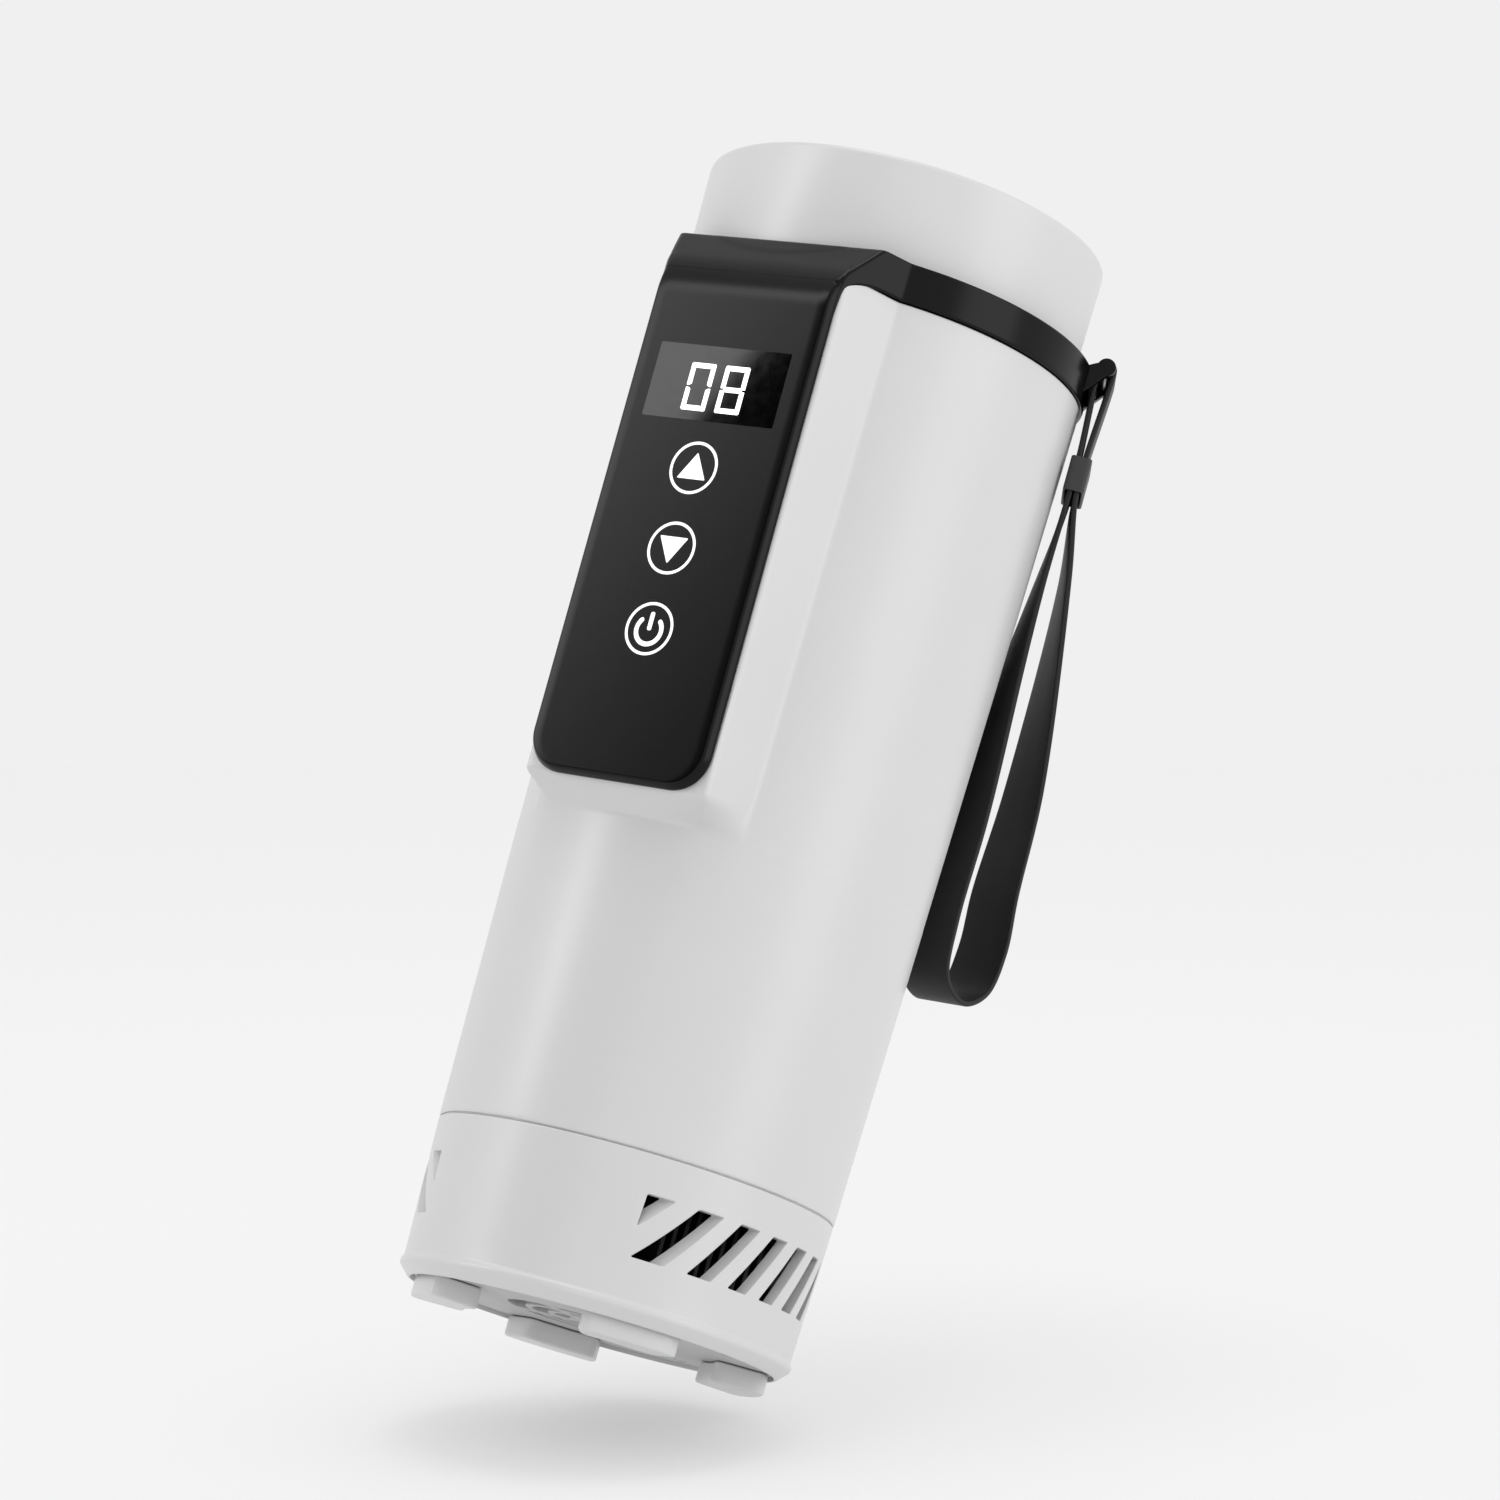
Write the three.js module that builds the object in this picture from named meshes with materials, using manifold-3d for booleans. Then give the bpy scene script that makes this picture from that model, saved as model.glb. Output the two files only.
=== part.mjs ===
// Portable thermoelectric medicine cooler: an insulated flask whose base holds a Peltier module,
// a finned heat sink and a fan, with a touch panel on its front and a wrist strap at its rim.
// Millimetres, +Z up, feet on z = 0, touch panel facing -Y, vents on the +X and -X sides.

import * as THREE from 'three';
import { mergeVertices } from 'three/addons/utils/BufferGeometryUtils.js';
import { ConvexGeometry } from 'three/addons/geometries/ConvexGeometry.js';
import Module from 'manifold-3d';

const wasm = await Module();
wasm.setup();

// ---------------------------------------------------------------- driving dimensions

const GAP = 0.3; // clearance left between pieces that touch
const WALL = 2.5; // moulded outer walls
const SIDES = 40; // facets round a full-size turned piece
const SMALL_SIDES = 12; // facets round a screw, shaft or wire

const AXIS_X = -1.2; // places the origin under the middle of the whole footprint
const AXIS_Y = -3.3;
const FOOT_Z = 2; // underside of the feet, on which the whole is set down at the end

// Heights of the outer pieces, before the whole is set down on its feet.
const RIM_Z = 5.7; // lowest edge of the base skirt
const LIP_Z = 8; // widest point of the skirt's lip
const SEAM_Z = 38.8; // joint between base skirt and body
const BAND_Z = 219.1; // lower edge of the black rim band
const BAND_HEIGHT = 8.5;
const LID_HEIGHT = 22.6; // lid above the band

// Radii of the outer pieces.
const SEAM_R = 42;
const BODY_TAPER = 0.0238; // growth of the body's radius per millimetre of height
const LIP_R = SEAM_R - 0.6;
const SKIRT_FOOT_R = LIP_R - 0.5; // skirt just above its lip
const BAND_PROUD = 0.65; // band outside the body
const LID_INSET = 4; // lid's lower edge inside the band
const LID_FLARE = 0.5; // growth of the lid's radius up to its top edge
const LID_EDGE = 1.4; // rounded top edge of the lid

// Touch panel and the raised flat that carries it.
const PANEL_PROUD = 6.6; // panel's front plane outside the round body
const PANEL_T = 2.2;
const PANEL_HALF = 21.4;
const PANEL_BEVEL = 1.6; // how far the front face is drawn in from the panel's edge
const PANEL_Z = 108.5; // lower edge of the panel
const PANEL_CORNER = 8;
const PANEL_SLOPE_DROP = 2.6; // how far below the band the panel starts to slope back
const PANEL_SLOPE_BACK = 8.6; // how far it has sloped back at the rim
const PLINTH_FOOT = 5; // height of the slanted face below the panel
const PLINTH_FLARE = 5; // how far the plinth's sides spread to meet the round body

const WINDOW_W = 32;
const WINDOW_H = 16;
const WINDOW_DROP = 26.6; // middle of the display window below the band
const KEY_PITCH = 17.2;
const KEY_DROP = 18; // middle of the top touch key below the middle of the window

// Storage chamber and insulation.
const CHAMBER_R = 26.5;
const CUP_WALL = 1.5;
const FOAM_MARGIN = 1.1; // air between the foam and the casing
const NECK_STEP = 2; // body inside the rim band
const NECK_DROP = 4.3; // top of the neck below the band's top
const COLLAR_T = 3; // ring that closes the top of the body
const PLUG_DEPTH = 12.6; // lid plug below the collar's top

// Cooling stack, from the ground up.
const PLATE_Z = 6.5; // underside of the base plate
const PLATE_T = 2.3;
const FAN_SIZE = 50;
const FAN_T = 10;
const FIN_COUNT = 13;
const FIN_PITCH = 3.8;
const FIN_T = 1.4;
const FIN_HEIGHT = 15;
const SINK_BASE_T = 4;
const MODULE_SIZE = 30;
const MODULE_T = 3.6;
const PAD_T = 0.5;
const BLOCK_SIZE = 32;
const BLOCK_T = 8;

// Side vents.
const VENT_Z = 18;
const VENT_HEIGHT = 12.8;
const VENT_WIDTH = 4.6;
const VENT_PITCH = 8.6;
const VENT_LEAN = 7.4; // how far a slot leans back over its height
const VENT_MARGIN = 8.8; // vented field's edge, in from the skirt's outer radius

// Feet.
const FOOT_INSET = 3.5; // foot's outer face inside the skirt
const FOOT_DEPTH = 11.4;
const FOOT_HALF_DEG = 16.8;

// Wrist strap and its lug.
const LUG_DEG = 28; // lug's place, from +X towards +Y
const PIN_R = 0.8;
const PIN_RISE = 0.6; // pin's axis above the rim band
const STRAP_W = 12;
const STRAP_T = 1.2;
const EAR_T = 2;
const KEEPER_DROP = 27.4; // keeper's lower edge below the pin
const KEEPER_HEIGHT = 7.6;
const KEEPER_WALL = 0.6;

// ---------------------------------------------------------------- places worked out from them

const BAND_TOP = BAND_Z + BAND_HEIGHT;
const LID_TOP = BAND_TOP + LID_HEIGHT;
const COLLAR_TOP = BAND_TOP - NECK_DROP + GAP + COLLAR_T;
const LID_Z = COLLAR_TOP + GAP;
const bodyRadius = (z) => SEAM_R + BODY_TAPER * (z - SEAM_Z);
const BAND_R = bodyRadius(BAND_Z) + BAND_PROUD;
const NECK_R = bodyRadius(BAND_Z) - NECK_STEP;
const LID_R = BAND_R - LID_INSET;
const FOAM_R = SEAM_R - WALL - FOAM_MARGIN;
const CUP_R = CHAMBER_R + CUP_WALL;
const FAN_Z = PLATE_Z + PLATE_T + GAP;
const FIN_Z = FAN_Z + FAN_T + GAP;
const SINK_TOP = FIN_Z + FIN_HEIGHT + SINK_BASE_T;
const HOT_PAD_Z = SINK_TOP + GAP;
const MODULE_Z = HOT_PAD_Z + PAD_T + GAP;
const COLD_PAD_Z = MODULE_Z + MODULE_T + GAP;
const BLOCK_Z = COLD_PAD_Z + PAD_T + GAP;
const CUP_Z = BLOCK_Z + BLOCK_T + GAP;
const CUP_TOP = BAND_TOP - NECK_DROP;
const PANEL_REACH = bodyRadius(0) + PANEL_PROUD; // panel's front plane, carried down to z = 0
const PLINTH_REACH = PANEL_REACH - PANEL_T - GAP;
const CREASE = Math.asin((PANEL_HALF + PLINTH_FLARE) / bodyRadius((PANEL_Z + BAND_Z) / 2));
const WINDOW_Z = BAND_Z - WINDOW_DROP;
const KEY_Z = WINDOW_Z - KEY_DROP;
const VENT_HALF = SEAM_R - VENT_MARGIN;
const VENT_COUNT = Math.ceil((2 * VENT_HALF + VENT_LEAN) / VENT_PITCH);
const FOOT_OUT_R = SKIRT_FOOT_R - FOOT_INSET;
const FOOT_IN_R = FOOT_OUT_R - FOOT_DEPTH;
const LOOM_REACH = FOAM_R - 1.8; // wiring's middle, from the axis
const LOOM_CHANNEL = LOOM_REACH - 2.4; // bottom of the channel it runs in
const PIN_Z = BAND_TOP + PIN_RISE;
const KEEPER_Z = PIN_Z - KEEPER_DROP;
const PIN_REACH = BAND_R + GAP + STRAP_T + GAP + PIN_R;

// ---------------------------------------------------------------- finishes

const finish = (color, roughness, metalness = 0) => ({ color, roughness, metalness });
const WHITE_ABS = finish(0xe9e9e8, 0.42);
const WHITE_INNER = finish(0xdededc, 0.5);
const BLACK_ABS = finish(0x1b1b1c, 0.3);
const DARK_LENS = finish(0x08080a, 0.08);
const RUBBER = finish(0x161616, 0.65);
const SILICONE = finish(0xc9ccce, 0.6);
const ALUMINIUM = finish(0xc6c9cc, 0.35, 1);
const BLACK_ALUMINIUM = finish(0x1c1d1f, 0.45, 0.6);
const STEEL = finish(0xb5b7b9, 0.3, 1);
const BRASS = finish(0xb99a52, 0.35, 1);
const COPPER = finish(0xb8693f, 0.4, 1);
const FERRITE = finish(0x3a3b3d, 0.6);
const FOAM = finish(0xd9d4c4, 0.95);
const BOARD = finish(0x1e5a3a, 0.5);
const CERAMIC = finish(0xf0eee8, 0.55);
const PAD_GREY = finish(0x8f959b, 0.8);
const CELL_FOIL = finish(0xb9bec6, 0.35, 0.6);

// ---------------------------------------------------------------- solids

/** Turns a closed three.js geometry into a solid, with its faces pointing out. */
function solid(geometry) {
  const bare = geometry.clone();
  bare.deleteAttribute('normal');
  bare.deleteAttribute('uv');
  const merged = mergeVertices(bare, 1e-4);
  const points = merged.attributes.position;
  const corners = merged.index.array;
  const kept = [];
  let volume = 0;
  const [a, b, c] = [new THREE.Vector3(), new THREE.Vector3(), new THREE.Vector3()];
  for (let i = 0; i < corners.length; i += 3) {
    const [p, q, r] = corners.slice(i, i + 3);
    if (p === q || q === r || r === p) continue;
    kept.push(p, q, r);
    a.fromBufferAttribute(points, p);
    b.fromBufferAttribute(points, q);
    c.fromBufferAttribute(points, r);
    volume += a.dot(b.cross(c));
  }
  if (volume < 0) kept.reverse();
  const mesh = new wasm.Mesh({
    numProp: 3,
    vertProperties: new Float32Array(points.array),
    triVerts: new Uint32Array(kept),
  });
  mesh.merge();
  return new wasm.Manifold(mesh);
}

/** Names a solid or a closed geometry, gives it a finish of its own and puts it in a group. */
function place(group, name, shape, look) {
  const body = shape.getMesh ? shape : solid(shape);
  const data = body.getMesh();
  const geometry = new THREE.BufferGeometry();
  geometry.setAttribute('position', new THREE.BufferAttribute(data.vertProperties, 3));
  geometry.setIndex(new THREE.BufferAttribute(data.triVerts, 1));
  geometry.computeVertexNormals();
  const mesh = new THREE.Mesh(geometry, new THREE.MeshStandardMaterial(look));
  mesh.name = name;
  group.add(mesh);
  return mesh;
}

const union = (shapes) => shapes.reduce((whole, shape) => whole.add(shape));
const cut = (shape, cutters) => cutters.reduce((left, cutter) => left.subtract(cutter), shape);

/** A closed outline of [radius, height] points turned about the vertical axis. */
function turned(outline, sides = SIDES) {
  const ring = outline.map(([r, z]) => new THREE.Vector2(r, z));
  ring.push(ring[0].clone());
  return solid(new THREE.LatheGeometry(ring, sides).rotateX(Math.PI / 2));
}

const disc = (r, z, height, sides = SIDES) => (
  turned([[0, z], [r, z], [r, z + height], [0, z + height]], sides)
);
const tube = (inner, outer, z, height, sides = SIDES) => (
  turned([[inner, z], [outer, z], [outer, z + height], [inner, z + height]], sides)
);

/** A box given by its two opposite corners. */
function box([x0, y0, z0], [x1, y1, z1]) {
  const geometry = new THREE.BoxGeometry(x1 - x0, y1 - y0, z1 - z0);
  return solid(geometry.translate((x0 + x1) / 2, (y0 + y1) / 2, (z0 + z1) / 2));
}

/** A square block centred on the axis. */
const block = (size, z, height) => box([-size / 2, -size / 2, z], [size / 2, size / 2, z + height]);

/** The convex solid round a set of points. */
const hull = (points) => solid(new ConvexGeometry(points.map((p) => new THREE.Vector3(...p))));

/** A solid turned about the vertical axis by an angle in degrees. */
const spun = (shape, degrees) => shape.rotate([0, 0, degrees]);

/** A screw with its head's underside at z, its shank running the given way along Z. */
function screw(headR, headT, shankR, length, z, way) {
  const head = disc(headR, way > 0 ? z - headT : z, headT, SMALL_SIDES);
  return head.add(disc(shankR, way > 0 ? z - 0.1 : z - length, length + 0.1, SMALL_SIDES));
}

/** The panel's tilt: local z runs up the panel, local y into the body, y = 0 on the plinth's face. */
const PANEL_TILT = Math.atan(BODY_TAPER);
const frontFrame = new THREE.Matrix4()
  .makeTranslation(0, -PLINTH_REACH, 0)
  .multiply(new THREE.Matrix4().makeRotationX(PANEL_TILT));
const onFront = (shape) => shape.transform(frontFrame.elements);

// ---------------------------------------------------------------- body and touch panel

/** The raised flat that carries the panel, drawn in by a margin to make its hollow. */
function plinth(margin, top) {
  const foot = PANEL_Z + margin;
  const points = [];
  for (const z of [foot, top]) {
    const r = bodyRadius(z) - margin;
    const front = PLINTH_REACH + BODY_TAPER * z - margin;
    for (const side of [-1, 1]) {
      points.push([side * (PANEL_HALF + 0.4 - margin), -front, z]);
      points.push([side * r * Math.sin(CREASE), -r * Math.cos(CREASE), z]);
    }
  }
  const low = foot - PLINTH_FOOT;
  const r = bodyRadius(low) - margin;
  for (const side of [-1, 1]) points.push([side * r * Math.sin(CREASE), -r * Math.cos(CREASE), low]);
  points.push([0, -r, low], [0, 0, low], [0, 0, top]);
  return hull(points);
}

/** Tapered outer casing with the plinth, open at both ends and cut away behind the panel. */
function bodyShell() {
  const low = SEAM_Z + GAP / 2;
  const neckTop = BAND_TOP - NECK_DROP;
  const outer = turned([
    [0, low], [bodyRadius(low), low], [bodyRadius(BAND_Z), BAND_Z], [NECK_R, BAND_Z],
    [NECK_R, neckTop], [0, neckTop],
  ]);
  const inner = turned([
    [0, low - 1], [bodyRadius(low) - WALL, low - 1], [bodyRadius(BAND_Z) - WALL, BAND_Z - 2 * WALL],
    [NECK_R - WALL, BAND_Z - WALL], [NECK_R - WALL, neckTop + 1], [0, neckTop + 1],
  ]);
  const aperture = onFront(box(
    [-WINDOW_W / 2 - 1, -1, KEY_Z - 2 * KEY_PITCH - 10],
    [WINDOW_W / 2 + 1, WALL + 1.5, WINDOW_Z + WINDOW_H / 2 + 1],
  ));
  return cut(outer.add(plinth(0, BAND_Z)), [inner, plinth(WALL, BAND_Z - 2 * WALL), aperture]);
}

/** The panel plate's outline at a margin inside its edge: square above, rounded below. */
function panelOutline(margin, y, top) {
  const half = PANEL_HALF - margin;
  const r = PANEL_CORNER - margin;
  const points = [[-half, y, top], [half, y, top]];
  for (let step = 0; step <= 6; step += 1) {
    const angle = (step / 6) * (Math.PI / 2);
    const x = half - r + r * Math.sin(angle);
    const z = PANEL_Z + margin + r - r * Math.cos(angle);
    points.push([x, y, z], [-x, y, z]);
  }
  return points;
}

/** Two ears that hold the strap's pin, standing out of the rim band and rising above it. */
function lugEars() {
  const ear = (start) => {
    const points = [];
    for (const y of [start, start + EAR_T]) {
      points.push([BAND_R - 1.2, y, BAND_Z + 1.5], [BAND_R - 1.2, y, BAND_TOP - 0.2]);
      for (let step = 0; step <= 8; step += 1) {
        const angle = ((step - 3) / 8) * Math.PI;
        points.push([PIN_REACH + 2 * Math.cos(angle), y, PIN_Z + 2 * Math.sin(angle)]);
      }
    }
    return hull(points);
  };
  const inside = STRAP_W / 2 + GAP;
  const bore = new THREE.CylinderGeometry(PIN_R + GAP, PIN_R + GAP, 40, SMALL_SIDES);
  bore.translate(PIN_REACH, 0, PIN_Z);
  return spun(ear(inside).add(ear(-inside - EAR_T)).subtract(solid(bore)), LUG_DEG);
}

/** Black front plate that runs into the band round the rim, one moulding with the strap's lug. */
function frontPanel() {
  const back = -GAP;
  const front = -GAP - PANEL_T;
  const plate = onFront(hull([
    ...panelOutline(0, back, BAND_TOP),
    ...panelOutline(PANEL_BEVEL * 0.3, back - PANEL_T * 0.7, BAND_TOP),
    ...panelOutline(PANEL_BEVEL, front, BAND_TOP),
  ])).intersect(box([-60, -70, 0], [60, 0, BAND_TOP]));
  const crease = CREASE + 0.01;
  const face = PANEL_REACH + BODY_TAPER * BAND_TOP;
  const corner = [];
  for (const z of [BAND_Z + GAP, BAND_TOP]) {
    for (const side of [-1, 1]) {
      corner.push([side * (PANEL_HALF - PANEL_BEVEL), -face, z]);
      corner.push([side * (PANEL_HALF + 0.8), -face + PANEL_T, z]);
      corner.push([side * BAND_R * Math.sin(crease), -BAND_R * Math.cos(crease), z]);
      corner.push([side * 20, 0, z]);
    }
  }
  const band = disc(BAND_R, BAND_Z + GAP, BAND_HEIGHT - GAP).add(hull(corner));
  const slopeZ = BAND_Z - PANEL_SLOPE_DROP;
  const slope = hull([-60, 60].flatMap((x) => [
    [x, -face - 5, slopeZ - (5 * (BAND_TOP - slopeZ)) / PANEL_SLOPE_BACK],
    [x, -face + PANEL_SLOPE_BACK, BAND_TOP],
    [x, -face + PANEL_SLOPE_BACK, BAND_TOP + 5],
    [x, -face - 5, BAND_TOP + 5],
  ]));
  const windowHole = onFront(box(
    [-WINDOW_W / 2 - GAP, front - 1, WINDOW_Z - WINDOW_H / 2 - GAP],
    [WINDOW_W / 2 + GAP, 0, WINDOW_Z + WINDOW_H / 2 + GAP],
  ));
  const bore = disc(NECK_R + GAP, BAND_Z - 1, BAND_HEIGHT + 2);
  const shelf = box([-60, -PLINTH_REACH - BODY_TAPER * PANEL_Z + 0.1, 0], [60, 60, BAND_Z + GAP]);
  return cut(plate.subtract(shelf).add(band), [slope, windowHole]).add(lugEars()).subtract(bore);
}

const springCentre = (row) => KEY_Z - row * KEY_PITCH;
const BOARD_DROP = 14; // board's lower edge below the lowest key

/** A coil spring that carries the touch signal from the board to the back of the panel. */
function touchSpring(row) {
  const depth = 4.6;
  const turns = 3;
  const points = [];
  for (let step = 0; step <= 24; step += 1) {
    const angle = (step / 24) * turns * 2 * Math.PI;
    points.push(new THREE.Vector3(
      3.6 * Math.cos(angle),
      0.7 + (step / 24) * (depth - 1.4),
      springCentre(row) + 3.6 * Math.sin(angle),
    ));
  }
  const wire = new THREE.Shape().absarc(0, 0, 0.3, 0, 2 * Math.PI);
  const path = new THREE.CatmullRomCurve3(points);
  return new THREE.ExtrudeGeometry(wire, { steps: 24, curveSegments: 2, extrudePath: path });
}

/** The pieces behind the panel, in the panel's tilted frame. */
function addElectronics(group) {
  const front = new THREE.Group();
  front.position.set(0, -PLINTH_REACH, 0);
  front.rotation.x = PANEL_TILT;
  group.add(front);
  place(front, 'display_window', box(
    [-WINDOW_W / 2, -GAP - PANEL_T + 0.05, WINDOW_Z - WINDOW_H / 2],
    [WINDOW_W / 2, -GAP - 0.4, WINDOW_Z + WINDOW_H / 2],
  ), DARK_LENS);
  const boardY = 5.4;
  const boardT = 1.6;
  place(front, 'display_module', box(
    [-WINDOW_W / 2 + 1, 0.1, WINDOW_Z - WINDOW_H / 2 + 1],
    [WINDOW_W / 2 - 1, boardY - GAP, WINDOW_Z + WINDOW_H / 2 - 1],
  ), FERRITE);
  const boardTop = WINDOW_Z + WINDOW_H / 2 + 6;
  const boardLow = springCentre(2) - BOARD_DROP;
  place(front, 'control_board', box([-17, boardY, boardLow], [17, boardY + boardT, boardTop]), BOARD);
  ['up', 'down', 'power'].forEach((key, row) => {
    place(front, `touch_spring_${key}`, touchSpring(row), STEEL);
  });
  const cellY = boardY + boardT + 0.5;
  const cellH = (boardTop - boardLow - GAP) / 2;
  for (const row of [0, 1]) {
    const z = boardLow + row * (cellH + GAP);
    place(front, `battery_cell_${row + 1}`, box([-16, cellY, z], [16, cellY + 5, z + cellH]), CELL_FOIL);
  }
}

// ---------------------------------------------------------------- chamber and cooling stack

/** Deep aluminium cup that holds the medicine, with a flange at its mouth. */
function coldCup() {
  const floor = 2;
  const flange = 3;
  return turned([
    [0, CUP_Z], [CUP_R, CUP_Z], [CUP_R, CUP_TOP - CUP_WALL], [CUP_R + flange, CUP_TOP - CUP_WALL],
    [CUP_R + flange, CUP_TOP], [CHAMBER_R, CUP_TOP], [CHAMBER_R, CUP_Z + floor], [0, CUP_Z + floor],
  ]);
}

const SENSOR_DEG = 30; // temperature sensor's place beside the wiring

/** Foam round the cup, with a pocket for the electronics and a channel for the wiring. */
function insulationSleeve() {
  const low = COLD_PAD_Z + 2.6;
  const top = CUP_TOP - CUP_WALL - GAP;
  const step = CUP_Z - GAP;
  const blockR = BLOCK_SIZE * Math.SQRT1_2 + 1;
  const sleeve = turned([
    [blockR, low], [FOAM_R, low], [FOAM_R, top], [CUP_R + GAP, top], [CUP_R + GAP, step],
    [blockR, step],
  ]);
  const pocket = onFront(box([-19, -5, PANEL_Z], [19, 12.9, BAND_Z - 4]));
  const channelTop = springCentre(2) - BOARD_DROP - 14.8;
  const channel = box([-4, -60, low - 1], [4, -LOOM_CHANNEL, channelTop]);
  const sensorPocket = box([-2.2, -60, CUP_Z + 3], [2.2, -CUP_R - 0.4, CUP_Z + 17]);
  return cut(sleeve, [pocket, channel, spun(sensorPocket, SENSOR_DEG)]);
}

/** Plate that holds the cup's end off the hot side and frames the Peltier module. */
function supportPlate(screwAt) {
  const height = MODULE_T + PAD_T + GAP;
  const plate = disc(SEAM_R - WALL - 2 * GAP, HOT_PAD_Z, height);
  const notch = box([-4, -60, 0], [4, -LOOM_CHANNEL, 60]);
  const holes = screwAt.map(([x, y]) => disc(1.35 + GAP, 0, 60, SMALL_SIDES).translate([x, y, 0]));
  return cut(plate, [block(MODULE_SIZE + 1, 0, 60), notch, ...holes]);
}

/** Finned heat sink whose fins run across to the side vents. */
function heatSink(screwAt) {
  const half = FAN_SIZE / 2;
  const base = block(FAN_SIZE, FIN_Z + FIN_HEIGHT, SINK_BASE_T);
  const fins = [];
  for (let fin = 0; fin < FIN_COUNT; fin += 1) {
    const y = (fin - (FIN_COUNT - 1) / 2) * FIN_PITCH;
    fins.push(box([-half, y - FIN_T / 2, FIN_Z], [half, y + FIN_T / 2, FIN_Z + FIN_HEIGHT + 0.5]));
  }
  const holes = screwAt.map(([x, y]) => (
    disc(1.35 + GAP, SINK_TOP - 3, 5, SMALL_SIDES).translate([x, y, 0])
  ));
  return cut(union([base, ...fins]), holes);
}

const corners = (reach) => [[1, 1], [-1, 1], [-1, -1], [1, -1]].map(([x, y]) => [x * reach, y * reach]);

/** The chamber and everything stacked below it, down to the heat sink. */
function addCoolingStack(group) {
  const screwAt = corners(21);
  place(group, 'cold_cup', coldCup(), ALUMINIUM);
  place(group, 'insulation_sleeve', insulationSleeve(), FOAM);
  place(group, 'cold_block', block(BLOCK_SIZE, BLOCK_Z, BLOCK_T), ALUMINIUM);
  place(group, 'thermal_pad_cold', block(MODULE_SIZE, COLD_PAD_Z, PAD_T), PAD_GREY);
  place(group, 'peltier_module', block(MODULE_SIZE, MODULE_Z, MODULE_T), CERAMIC);
  place(group, 'thermal_pad_hot', block(MODULE_SIZE, HOT_PAD_Z, PAD_T), PAD_GREY);
  place(group, 'support_plate', supportPlate(screwAt), WHITE_INNER);
  place(group, 'heat_sink', heatSink(screwAt), BLACK_ALUMINIUM);
  const plateTop = HOT_PAD_Z + MODULE_T + PAD_T + GAP;
  screwAt.forEach(([x, y], index) => {
    const shape = screw(2.6, 1.6, 1.35, 7, plateTop + GAP, -1).translate([x, y, 0]);
    place(group, `support_screw_${index + 1}`, shape, STEEL);
  });
  const sensor = disc(1.4, CUP_Z + 5, 9, SMALL_SIDES).translate([0, -CUP_R - 1.9, 0]);
  place(group, 'temp_sensor', spun(sensor, SENSOR_DEG), BRASS);
}

// ---------------------------------------------------------------- fan

const FAN_BORE_R = FAN_SIZE / 2 - 1.4;
const FAN_HUB_R = 10.2;
const FAN_SCREW_AT = FIN_PITCH * 5.5; // between two fins, where the screws bite
const FAN_MOUNT_T = 1.5;

/** Square frame with a round duct, and a motor plate on four struts. */
function fanFrame() {
  const bored = block(FAN_SIZE, FAN_Z, FAN_T).subtract(disc(FAN_BORE_R, FAN_Z - 1, FAN_T + 2));
  const mount = disc(FAN_HUB_R - 1, FAN_Z, FAN_MOUNT_T);
  const reach = FAN_BORE_R + 0.6;
  const strut = box([-reach, -0.9, FAN_Z], [reach, 0.9, FAN_Z + FAN_MOUNT_T]);
  const holes = corners(FAN_SCREW_AT).flatMap(([x, y]) => [
    disc(0.9 + GAP, FAN_Z - 1, FAN_T + 2, SMALL_SIDES).translate([x, y, 0]),
    disc(2.2 + GAP, FAN_Z - 1, 3, SMALL_SIDES).translate([x, y, 0]),
  ]);
  return cut(union([bored, mount, spun(strut, 20), spun(strut, 110)]), holes);
}

/** Hub cup with seven pitched blades. */
function fanRotor(low) {
  const height = 7.6;
  const top = low + height;
  const skin = 1.5;
  const hub = turned([
    [FAN_HUB_R - skin, low], [FAN_HUB_R, low], [FAN_HUB_R, top], [0, top], [0, top - 1.6],
    [FAN_HUB_R - skin, top - 1.6],
  ]);
  const blades = [];
  for (let index = 0; index < 7; index += 1) {
    const blade = box([FAN_HUB_R - 0.6, -4.4, -0.6], [FAN_BORE_R - 0.9, 4.4, 0.6]);
    blades.push(spun(blade.rotate([38, 0, 0]).translate([0, 0, low + height / 2]), (index * 360) / 7));
  }
  return union([hub, ...blades]);
}

/** Laminated stator with four poles round the bearing. */
function fanStator(low) {
  const core = tube(3.1, 4.4, low, 4.2, SMALL_SIDES);
  const pole = box([3.6, -2, low + 0.4], [6.8, 2, low + 3.8]);
  return union([core, ...[45, 135, 225, 315].map((angle) => spun(pole, angle))]);
}

function addFan(group) {
  const motor = FAN_Z + FAN_MOUNT_T + GAP;
  const rotorLow = motor + 0.2;
  place(group, 'fan_frame', fanFrame(), BLACK_ABS);
  place(group, 'fan_bearing', tube(1.3, 2.8, motor, 5.4, SMALL_SIDES), BRASS);
  place(group, 'fan_stator', fanStator(motor + 0.3), COPPER);
  place(group, 'fan_rotor', fanRotor(rotorLow), BLACK_ABS);
  place(group, 'fan_magnet', tube(7.3, FAN_HUB_R - 1.5 - GAP, rotorLow + 0.3, 4.6, 24), FERRITE);
  place(group, 'fan_shaft', disc(1, rotorLow + 0.2, 5.5, SMALL_SIDES), STEEL);
  corners(FAN_SCREW_AT).forEach(([x, y], index) => {
    const shape = screw(2.2, 1.5, 0.9, 11, FAN_Z + 2 - GAP, 1).translate([x, y, 0]);
    place(group, `fan_screw_${index + 1}`, shape, STEEL);
  });
}

// ---------------------------------------------------------------- base

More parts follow.
